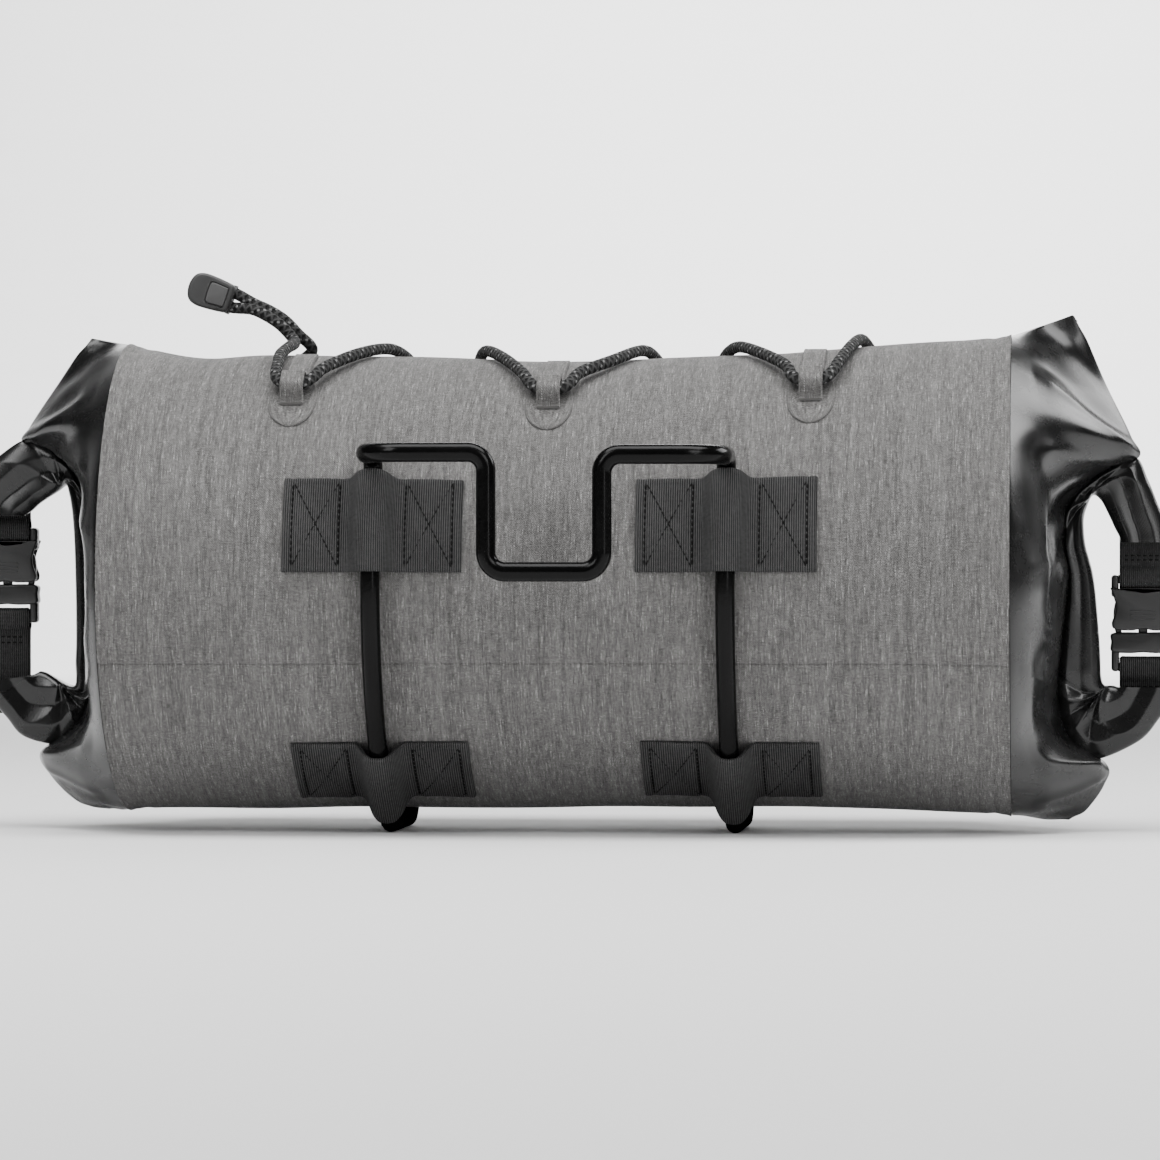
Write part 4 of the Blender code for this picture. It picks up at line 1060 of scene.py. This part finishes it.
def buckle(word, side):
    """Both halves, clipped together: outlines in millimetres from the middle of the buckle."""
    middle = np.array((side * (BODY_HALF + BUCKLE_OUT), BUCKLE_BACK, BUCKLE_UP[side]))
    half, long, deep = 13.5, 21.0, 5.0
    socket = Shape()
    rim = [(6, 14.2), (half, 15.2), (half, 14), (half - 1.2, 10.5), (half - 2.0, 7)]
    rim += [(half - 1.2, 3), (half - 0.2, 0), (half - 1.4, -2.6), (5, -3.2)]
    cheek = [*rim, *((-x, z) for x, z in rim), (0, 13.6), (0, -2.4)]
    cheek.sort(key=lambda spot: math.atan2(spot[1] - 6, spot[0]))
    for low, high in ((-deep, -deep + 2.1), (deep - 2.1, deep)):
        slab(socket, spline_outline(cheek), low, high, 0.8, middle, 0.3)
    for sign in (-1, 1):
        rail = box_outline(sign * 11.9 - 1.6, sign * 11.9 + 1.6, 11.0, long - 0.4, 1.5)
        slab(socket, rail, -3.6, 3.6, 1.2, middle)
        foot = box_outline(sign * 11.4 - 1.2, sign * 11.4 + 1.2, -2.4, 0.6, 1.1)
        slab(socket, foot, -4.2, 4.2, 0.6, middle)
    slab(socket, box_outline(-11.5, 11.5, 10.9, 13.2, 0.8), -3.4, 3.4, 0.6, middle)
    slab(socket, box_outline(-11.5, 11.5, 16.8, long - 0.3, 1.8), -1.9, 1.9, 1.3, middle)
    for z in (1.6, 3.4, 5.2):
        grip = box_outline(-5.5, 5.5, z - 0.35, z + 0.35, 0.3)
        slab(socket, grip, -deep - 0.55, -deep + 0.6, 0.25, middle)
    socket.make(f"socket_{word}", [BLACK_PLASTIC], "black_plastic", f"buckle_socket_{word}")

    plug = Shape()
    base = [(-half, -4.6), (-8, -3.9), (0, -4.0), (8, -3.9), (half, -4.6), (half + 0.1, -8)]
    base += [(half - 0.2, -12.2), (6, -12.9), (0, -12.6), (-6, -12.9), (-half + 0.2, -12.2)]
    base.append((-half - 0.1, -8))
    slab(plug, spline_outline(base), -4.1, 4.1, 1.2, middle, 0.25)
    arm = [(9.0, -5), (11.2, -5), (12.3, -1), (12.6, 4), (11.9, 8.6), (10.2, 10.0), (8.6, 9.4)]
    arm += [(9.9, 6), (9.9, 1)]
    for sign in (-1, 1):
        rail = box_outline(sign * 11.8 - 1.7, sign * 11.8 + 1.7, -long + 0.3, -11.0, 1.5)
        slab(plug, rail, -3.3, 3.3, 1.2, middle)
        slab(plug, spline_outline([(sign * x, z) for x, z in arm]), -1.5, 1.5, 0.6, middle)
    slab(plug, box_outline(-2.0, 2.0, -5, 8.2, 1.6), -1.5, 1.5, 0.6, middle)
    slab(plug, box_outline(-11.5, 11.5, -long + 0.2, -16.9, 1.8), -1.9, 1.9, 1.3, middle)
    plug.make(f"plug_{word}", [BLACK_PLASTIC], "black_plastic", f"buckle_plug_{word}")


buckle("left", -1)
buckle("right", 1)

# The frame is one 8 mm rod, bent cold and powder coated in gloss black. It runs from the far
# side under the bag, up in front of it, outwards to the rails, and down round the stem.
ROD = 8 * MM
ROD_SIDES = 32
ROD_TIP = 1.6 * MM
ROD_APART = 147 * MM
RAIL_UP = 53 * MM
RAIL_DROP = 1 * MM
RAIL_OUT = 30 * MM
STEM_LEFT = -22.2 * MM
STEM_RIGHT = 25.2 * MM
STEM_FLOOR = 4.2 * MM
ROD_TOP = 21.0
ROD_LEAVES = 54.0
FOOT_BEND = 12 * MM
ROD_FAR_END = 42.0
ROD_RADIUS = 102.5 * MM
ROD_BENDS = [5.5 * MM, 17 * MM, 7.5 * MM, 8 * MM]
# how far the painted shade of the runs below the bag fades into the gloss
SHADE_FADE = 10 * MM


def fillet(corners, radii):
    """A path through corners, each rounded by its radius."""
    path = [corners[0]]
    for before, corner, after, radius in zip(corners, corners[1:], corners[2:], radii):
        a, b = unit(before - corner), unit(after - corner)
        angle = math.acos(float(np.clip(a.dot(b), -1, 1)))
        if radius == 0:
            path.append(corner)
            continue
        centre = corner + unit(a + b) * radius / math.sin(angle / 2)
        start = corner + a * radius / math.tan(angle / 2) - centre
        end = corner + b * radius / math.tan(angle / 2) - centre
        whole = math.pi - angle
        for t in np.linspace(0, 1, max(3, math.ceil(math.degrees(whole) / 3))):
            between = math.sin((1 - t) * whole) * start + math.sin(t * whole) * end
            path.append(centre + between / math.sin(whole))
    return [*path, corners[-1]]


def rod_half(side, leg, rail_up):
    """One side of the frame, from its far end round below the tube to the stem gap's floor."""
    x = side * ROD_APART / 2

    def circle(angle):
        turn = math.radians(angle)
        return np.array((x, -ROD_RADIUS * math.cos(turn), ROD_RADIUS * math.sin(turn)))

    leave = math.radians(ROD_LEAVES)
    foot = ROD_RADIUS * (math.cos(leave) - (1 - math.sin(leave)) / math.tan(math.pi / 2 - leave))
    back = [circle(angle) for angle in np.linspace(ROD_FAR_END - 180, ROD_LEAVES - 180, 6)]
    front = [circle(angle) for angle in np.linspace(-ROD_LEAVES, ROD_TOP, 31)]
    turn = math.radians(ROD_TOP)
    rise = (rail_up - front[-1][2]) / math.cos(turn)
    rail_y = -ROD_RADIUS - RAIL_OUT
    corners = [*back, np.array((x, foot, -ROD_RADIUS)), np.array((x, -foot, -ROD_RADIUS)), *front]
    radii = [0] * (len(back) - 1) + [FOOT_BEND, FOOT_BEND] + [0] * len(front)
    corners.append(front[-1] + rise * np.array((0.0, math.sin(turn), math.cos(turn))))
    corners += [np.array((at, rail_y, rail_up)) for at in (x, leg)]
    corners.append(np.array((leg, rail_y, STEM_FLOOR)))
    corners.append(np.array(((STEM_LEFT + STEM_RIGHT) / 2, rail_y, STEM_FLOOR)))
    return fillet(corners, radii + ROD_BENDS)


def powder_coat(name, shade_reach, whole):
    """Gloss black powder coat with its faint orange peel, and painted shade on the runs below the bag:
    there it turns matt black and shows no reflection.
    """
    finish = Finish(name)
    past_start = finish.ramp(finish.v, shade_reach, shade_reach + SHADE_FADE)
    near_end = finish.ramp(finish.v, whole - shade_reach - SHADE_FADE, whole - shade_reach)
    # painted shade: matt black, without reflections, on the runs below the bag at both ends of the rod
    matt_shade = 1 - past_start * (1 - near_end)
    peel = finish.noise(420, 420, 1.0)
    dust = finish.noise(60, 25, 3.0, 0.7)
    colour = finish.mix(dust, grey(0.001), grey(0.003))
    rough = finish.ramp(dust, 0.35, 0.8, 0.17, 0.3)
    normal = finish.bump(peel, 0.12 * MM, 0.35)
    looks = {"Base Color": colour, "Roughness": rough, "IOR": 1.22, "Normal": normal}
    gloss = finish.node("BsdfPrincipled", {}, looks)
    matt = finish.node("BsdfDiffuse", {}, {"Color": grey(0.004)})
    finish.node("OutputMaterial", {}, {0: finish.node("MixShader", {}, {0: matt_shade, 1: gloss, 2: matt})})
    return finish.material


left = rod_half(-1, STEM_LEFT, RAIL_UP)
right = rod_half(1, STEM_RIGHT, RAIL_UP - RAIL_DROP)
path = np.array(left + right[-2::-1])
path = path[np.diff(gone_along(path), prepend=-1.0) > 0.05 * MM]
rod = tube_rings(path, ROD / 2, ROD_SIDES)
ways = unit(np.gradient(path, axis=0))
tips = []
for place, way, ring in ((path[0], -ways[0], rod[0]), (path[-1], ways[-1], rod[-1])):
    turns = np.radians((15, 30, 50, 70, 86))
    tips.append([place + (ring - place) * math.cos(t) + way * math.sin(t) * ROD_TIP for t in turns])
rod = np.concatenate([tips[0][::-1], rod, tips[1]])
middles = rod.mean(axis=1)
run = gone_along(middles)
frame_rod = Shape()
frame_rod.skin(rod, np.linspace(0, math.pi * ROD, ROD_SIDES + 1)[None, :], run[:, None])
# the runs below the bag, which get the coat's painted shade
under = np.flatnonzero(middles[:, 2] < -0.93 * BODY_RADIUS)
shade_reach = run[under[under < len(run) / 2].max()]
POWDER_COAT = powder_coat("gloss_powder_coat", shade_reach, run[-1])
frame_rod.make("rod_frame", [POWDER_COAT], "black_rod", "carrier_frame")

# Four strips of 40 mm webbing hold the rod. Each is sewn down flat on both sides of a tunnel,
# with a row of stitches beside the tunnel, one at its end and a cross between them.
WEB_LONG = 75 * MM
WEB_SPAN = 23.6
WEB_UPPER = 14.2
WEB_LOWER = -55.2
TUNNEL_EDGE = 14 * MM
ROWS_AT = (-33.5 * MM, -13.8 * MM, 13.8 * MM, 33.5 * MM)
CROSSES_AT = ((-33 * MM, -14.5 * MM), (14.5 * MM, 33 * MM))
ROW_THREAD = 0.4 * MM
ROW_WIDE = 1.0 * MM
CROSS_THREAD = 0.27 * MM
WEB_PITCH = 2.7 * MM
THREAD_LIFT = 0.05 * MM
WAVE_FROM = 12 * MM
WAVE_FADE = 6 * MM
END_FADE = 0.7 * MM

# along the rod's webbing, lift of its face, in millimetres from the rod's middle
WEB_INNER = ((0.0, 9.2), (2.9, 8.6), (5.2, 6.3), (6.7, 3.4), (8.4, 1.3), (11.4, 0.3), (14.0, 0.3))
WEB_OUTER = ((0.0, 10.9), (3.8, 9.9), (6.8, 7.0), (8.3, 4.2), (9.6, 2.5), (12.0, 1.9), (14.0, 2.1))


def web_lift(x, angle, middle, table):
    """Lift of the webbing over the tube, x metres from the rod; it clears the rod's straight run."""
    past = np.radians(np.maximum(0.0, -angle - ROD_LEAVES))
    cloth = np.linalg.norm(over_tube(middle, angle)[..., 1:], axis=-1)
    under = ROD_RADIUS / np.cos(past) - ROD / 2 - FIT - cloth
    share = np.clip(1.3 - np.abs(x) / (9 * MM), 0, 1)
    return read(table, 1, np.abs(x) / MM) * MM + under * share * share * (3 - 2 * share)


def web_laid(x, angle, middle, table, more=0.0):
    """Points of the webbing, which follows the cloth's dents where it lies flat on it."""
    follows = np.clip(np.abs(x) / (3 * MM) - 3, 0, 1)
    lift = web_lift(x, angle, middle, table) + more
    return over_tube(middle + x, angle, lift + tube_give(middle + x, angle) * follows)


def mount_loop(name, side, angle, *nodes):
    """A strip round the rod, with its selvedges, pressed rows, thin ends and lines of stitches."""
    middle = side * ROD_APART / 2
    half = WEB_LONG / 2
    flat = np.linspace(TUNNEL_EDGE, half, 40)
    tunnel = TUNNEL_EDGE - 0.5 * MM
    outer_x = np.concatenate([-flat[::-1], np.linspace(-tunnel, tunnel, 66), flat])
    inner_x = outer_x[::-2]
    away = np.abs(outer_x)
    beside = np.clip((away - WAVE_FROM) / WAVE_FADE, 0, 1)
    pressed = -0.35 * (bell(away, ROWS_AT[-1], ROW_WIDE) + bell(away, ROWS_AT[-2], ROW_WIDE))
    ends = -0.8 * np.clip((away - half + END_FADE) / END_FADE, 0, 1) ** 2
    edge = np.array([0.92, 0.96, 0.985, 1])
    turns = angle + WEB_SPAN / 2 * np.concatenate([-edge[::-1], np.linspace(-0.87, 0.87, 40), edge])
    rings = []
    for turn in turns:
        t = abs(turn - angle) / (WEB_SPAN / 2)
        selvedge = 0.22 * bell(t, 0.93, 0.05) - 0.9 * np.clip((t - 0.96) / 0.04, 0, 1) ** 2
        wave = 0.18 * np.sin(outer_x * 260 + turn * 0.3) * beside
        more = (selvedge + wave + pressed + ends) * MM
        top = web_laid(outer_x, turn, middle, WEB_OUTER, more)
        rings.append(np.concatenate([top, web_laid(inner_x, turn, middle, WEB_INNER)]))
    shape = Shape()
    shape.skin(rings, gone_round(rings[20]), np.radians(turns)[:, None] * BODY_RADIUS)
    up = angle + WEB_SPAN / 2 * np.linspace(-0.86, 0.86, 30)
    lines = [(np.full(30, x), up, ROW_THREAD) for x in ROWS_AT]
    for start, end in CROSSES_AT:
        lines += [(np.linspace(start, end, 30), way, CROSS_THREAD) for way in (up, up[::-1])]
    for x, turn, thick in lines:
        places = web_laid(x, turn, middle, WEB_OUTER, THREAD_LIFT)
        outs = unit(web_laid(x, turn, middle, WEB_OUTER, THREAD_LIFT + MM) - places)
        stitches(shape, places, unit(np.gradient(places, axis=0)), outs, WEB_PITCH, thick)
    shape.make(name, [DARK_WEBBING, THREAD], "dark_webbing", *nodes)


for word, side in (("left", -1), ("right", 1)):
    mount_loop(f"upper_loop_{word}", side, WEB_UPPER, f"mount_loop_upper_{word}")
    mount_loop(f"lower_loop_{word}", side, WEB_LOWER, f"mount_loop_lower_{word}")

# The lace runs through seven loops of the same grey cloth, each folded double and welded on an
# oval patch, three near the top of this side and four on the far one.
LACE_LOOP_WIDE = 10 * MM
LACE_LOOP_CLOTH = 1.2 * MM
LACE_LOOP_STEP = 0.35 * MM
LACE_LOOP_RISE = LACE + 2.2 * MM
LACE_NEAR = 54.5
LACE_FAR = 127.0
NEAR_SPAN = 10.5
FAR_SPAN = 16.0
PATCH_THICK = 0.6 * MM
PATCH_SUNK = 0.28 * MM
PATCH_HALF = 10.0 * MM
PATCH_SPAN = 20.0
PATCH_LOWER = 2.5
PATCH_ROWS = 49
LOOP_TAIL = 81.0
NEAR_LOOPS = (-0.587, -0.016, 0.563)
FAR_LOOPS = (-0.628, -0.300, 0.265, 0.765)
PATCH_MELANGE = melange("patch_melange", 0.034, 0.185, 0.035)


def lace_patch(name, along, angle, *nodes):
    """An oval with a pressed, slightly raised edge."""
    x = along * BODY_HALF
    right = np.array([0.2, 0.4, 0.6, 0.76, 0.84, 0.9, 0.95, 0.985, 1])
    across = np.concatenate([-right[::-1], [0], right])
    rings = []
    for t in np.sin(np.linspace(-1, 1, PATCH_ROWS) * math.pi / 2):
        half = PATCH_HALF * max(0.02, (1 - abs(t) ** 2.6) ** 0.5)
        inward = np.minimum(1 - np.abs(across), (1 - abs(t)) * 0.9)
        ridge = 0.18 * bell(inward, 0.12, 0.04) - 0.55 * np.clip(1 - inward / 0.06, 0, 1) ** 2
        top = on_cloth(x + across * half, angle + t * PATCH_SPAN / 2, FIT + PATCH_THICK + ridge * MM)
        low = on_cloth(x + across[::-1] * half, angle + t * PATCH_SPAN / 2, FIT - PATCH_SUNK)
        rings.append(np.concatenate([top, low]))
    shape = Shape()
    girth = np.linspace(0, 4 * PATCH_HALF, len(rings[0]) + 1)
    run = np.linspace(0, math.radians(PATCH_SPAN) * BODY_RADIUS, PATCH_ROWS)
    shape.skin(rings, girth[None, :], run[:, None], ends="paired")
    shape.make(name, [PATCH_MELANGE], "grey_lace_fabric", *nodes)


def lace_loop(name, along, angle, span, tail, *nodes):
    """A folded band that stands off its patch as a flat arch; its tail runs up to the given angle."""
    foot = FIT + PATCH_THICK + FIT + LACE_LOOP_CLOTH / 2
    arch = ((-1.0, 0.0), (-0.86, 0.0), (-0.72, 0.25), (-0.62, 0.7), (-0.45, 0.96), (-0.2, 1.0))
    arch += tuple((-t, share) for t, share in reversed(arch))
    spots = [(angle + t * span / 2, foot + share * LACE_LOOP_RISE) for t, share in arch]
    edge = angle - PATCH_LOWER + PATCH_SPAN / 2
    flat = FIT + LACE_LOOP_CLOTH / 2
    if tail:
        spots += [(edge - 0.6, foot), (edge + 1.0, foot * 0.8), (edge + 2.6, flat), (edge + 5, flat)]
        spots += [((edge + 5 + tail) / 2, flat), (tail, flat)]
    places = [on_cloth(along * BODY_HALF, turn, lift) for turn, lift in spots]
    path = smooth_path(places, LACE_LOOP_STEP)
    shape = band(path, LACE_LOOP_STEP, LACE_LOOP_WIDE, LACE_LOOP_CLOTH, 26)
    shape.make(name, [PATCH_MELANGE], "grey_lace_fabric", *nodes)


for row, spots, angle, lower, span, tail in (
    ("front", NEAR_LOOPS, LACE_NEAR, -PATCH_LOWER, NEAR_SPAN, LOOP_TAIL),
    ("back", FAR_LOOPS, LACE_FAR, PATCH_LOWER, FAR_SPAN, None),
):
    for number, along in enumerate(spots, 1):
        lace_patch(f"patch_{row}_{number}", along, angle + lower, f"lace_patch_{row}_{number}")
        lace_loop(f"loop_{row}_{number}", along, angle, span, tail, f"lace_loop_{row}_{number}")

# The cord end is a small dark grey plastic clamp round both ends of the bungee, with a lighter
# snap-in panel in its face.
END_WIDE = 15 * MM
END_SPOTS = 64
STRAND_COLLAR = 3.3 * MM

# the upper halves of the clamp's outline and of its window, in millimetres from its middle
CLAMP_SIDE = ((9.8, 4.4), (9.3, 5.9), (6.5, 6.6), (0, 7.3), (-5, 7.2), (-8.6, 5.2))
CLAMP_WINDOW = ((7.7, 4.0), (7.3, 4.5), (4, 4.8), (0.6, 5.0), (-0.9, 4.4), (-1.2, 2.4))


def two_halves(upper, tip, foot):
    """A smooth outline through an upper half, its tip, the same half below, and its foot."""
    lower = [(x, -z) for x, z in reversed(upper)]
    return spline_outline([*upper, (tip, 0), *lower, (foot, 0)], END_SPOTS)


def tilted(shape):
    """Turns a shape made level about the axis into the cord end's place."""
    along, back, up = np.array(shape.points).T
    shape.points = end_place(along, up, back).tolist()
    return shape


outer = two_halves(CLAMP_SIDE, -10, 10)
window = two_halves(CLAMP_WINDOW, -1.3, 7.8)
rows = [(outer * 0.80, 5.25), (outer * 0.90, 5.15), (outer * 0.97, 4.6), (outer, 3.6), (outer, -3.6)]
rows += [(outer * 0.97, -4.6), (outer * 0.90, -5.15), (outer * 0.85, -5.25)]
rows += [(window + (outer * 0.85 - window) * 0.06, -5.25), (window, -5.1), (window, -4.3)]
clamp = Shape()
rings = [np.stack((flat[:, 0], np.full(len(flat), y * MM), flat[:, 1]), axis=-1) for flat, y in rows]
girth = np.linspace(0, 2 * (END_LONG + END_WIDE), len(outer) + 1)
clamp.skin(rings, girth[None, :], np.linspace(0, 20 * MM, len(rings))[:, None])
for sign in (-1, 1):
    path = np.array([((8.6 + i * 0.4) * MM, 0.0, sign * STRAND_APART / 2) for i in range(5)])
    collar = tube_rings(path, STRAND_COLLAR, 28)
    clamp.skin(collar, np.linspace(0, 20 * MM, 29)[None, :], np.linspace(0, 3 * MM, 5)[:, None])
tilted(clamp).make("clamp", [moulded("grey_plastic", 0.022, 0.5)], "grey_plastic", "cord_end")
panel = Shape()
slab(panel, window * (0.93, 0.91) + np.array((0.25, 0)) * MM, -5.6, -4.4, 0.45, np.zeros(3))
tilted(panel).make("clamp_panel", [moulded("light_panel", 0.045, 0.55)], "grey_plastic", "cord_end_panel")

# The stand-in studio: a pale floor that turns up into a pale wall, and large soft lights.
FLOOR_FRONT = -6.0
FLOOR_BACK = 4.0
SWEEP_RADIUS = 1.2
WALL_TOP = 6.0
BACKDROP_HALF = 7.0
WORLD_COLOUR = (0.8, 0.8, 0.81, 1.0)
WORLD_STRENGTH = 0.045

# place, the spot it faces, width, height and watts
LIGHTS = (
    ("top", (0.0, -0.25, 1.7), (0.0, 0.0, 0.1), 2.2, 1.0, 61.0),
    ("key", (-1.3, -1.6, 1.5), (0.0, 0.0, 0.1), 0.8, 1.4, 27.0),
    ("side", (1.3, -1.7, 1.3), (0.1, 0.0, 0.1), 0.9, 1.0, 22.0),
    ("rim", (2.0, 1.2, 1.3), (0.2, 0.0, 0.1), 1.3, 1.0, 33.0),
    ("strip", (1.45, -2.0, 0.4), (0.15, 0.0, 0.12), 0.3, 0.7, 4.5),
    ("wall", (0.0, 3.9, 2.7), (0.0, 5.3, 0.7), 2.0, 0.8, 250.0),
)


def studio(name, tone):
    finish = Finish(name)
    cloud = finish.noise(3, 3, 2.0)
    return finish.done(Base_Color=finish.mix(cloud, grey(tone), grey(tone * 1.03)), Roughness=0.9)


sweep = [(FLOOR_FRONT, 0.0), (0.0, 0.0), (FLOOR_BACK, 0.0)]
for t in np.linspace(0.08, math.pi / 2, 20):
    sweep.append((FLOOR_BACK + SWEEP_RADIUS * math.sin(t), SWEEP_RADIUS * (1 - math.cos(t))))
sweep.append((FLOOR_BACK + SWEEP_RADIUS, WALL_TOP))
mesh = bpy.data.meshes.new("backdrop")
points = [(x, y, z) for y, z in sweep for x in (-BACKDROP_HALF, BACKDROP_HALF)]
mesh.from_pydata(points, [], [(2 * i, 2 * i + 1, 2 * i + 3, 2 * i + 2) for i in range(len(sweep) - 1)])
mesh.uv_layers.new(name="lengths")
mesh.polygons.foreach_set("use_smooth", [True] * len(mesh.polygons))
mesh.materials.append(studio("pale_backdrop", 0.82))
backdrop = bpy.data.objects.new("backdrop", mesh)
bpy.context.scene.collection.objects.link(backdrop)

for name, place, target, wide, tall, power in LIGHTS:
    lamp = bpy.data.lights.new(name, "AREA")
    lamp.shape = "RECTANGLE"
    lamp.size, lamp.size_y, lamp.energy = wide, tall, power
    light = bpy.data.objects.new(name, lamp)
    bpy.context.scene.collection.objects.link(light)
    light.location = place
    light.rotation_euler = (Vector(target) - Vector(place)).to_track_quat("-Z", "Y").to_euler()

world = bpy.data.worlds.new("studio")
world.use_nodes = True
background = world.node_tree.nodes["Background"]
background.inputs["Color"].default_value = WORLD_COLOUR
background.inputs["Strength"].default_value = WORLD_STRENGTH
bpy.context.scene.world = world
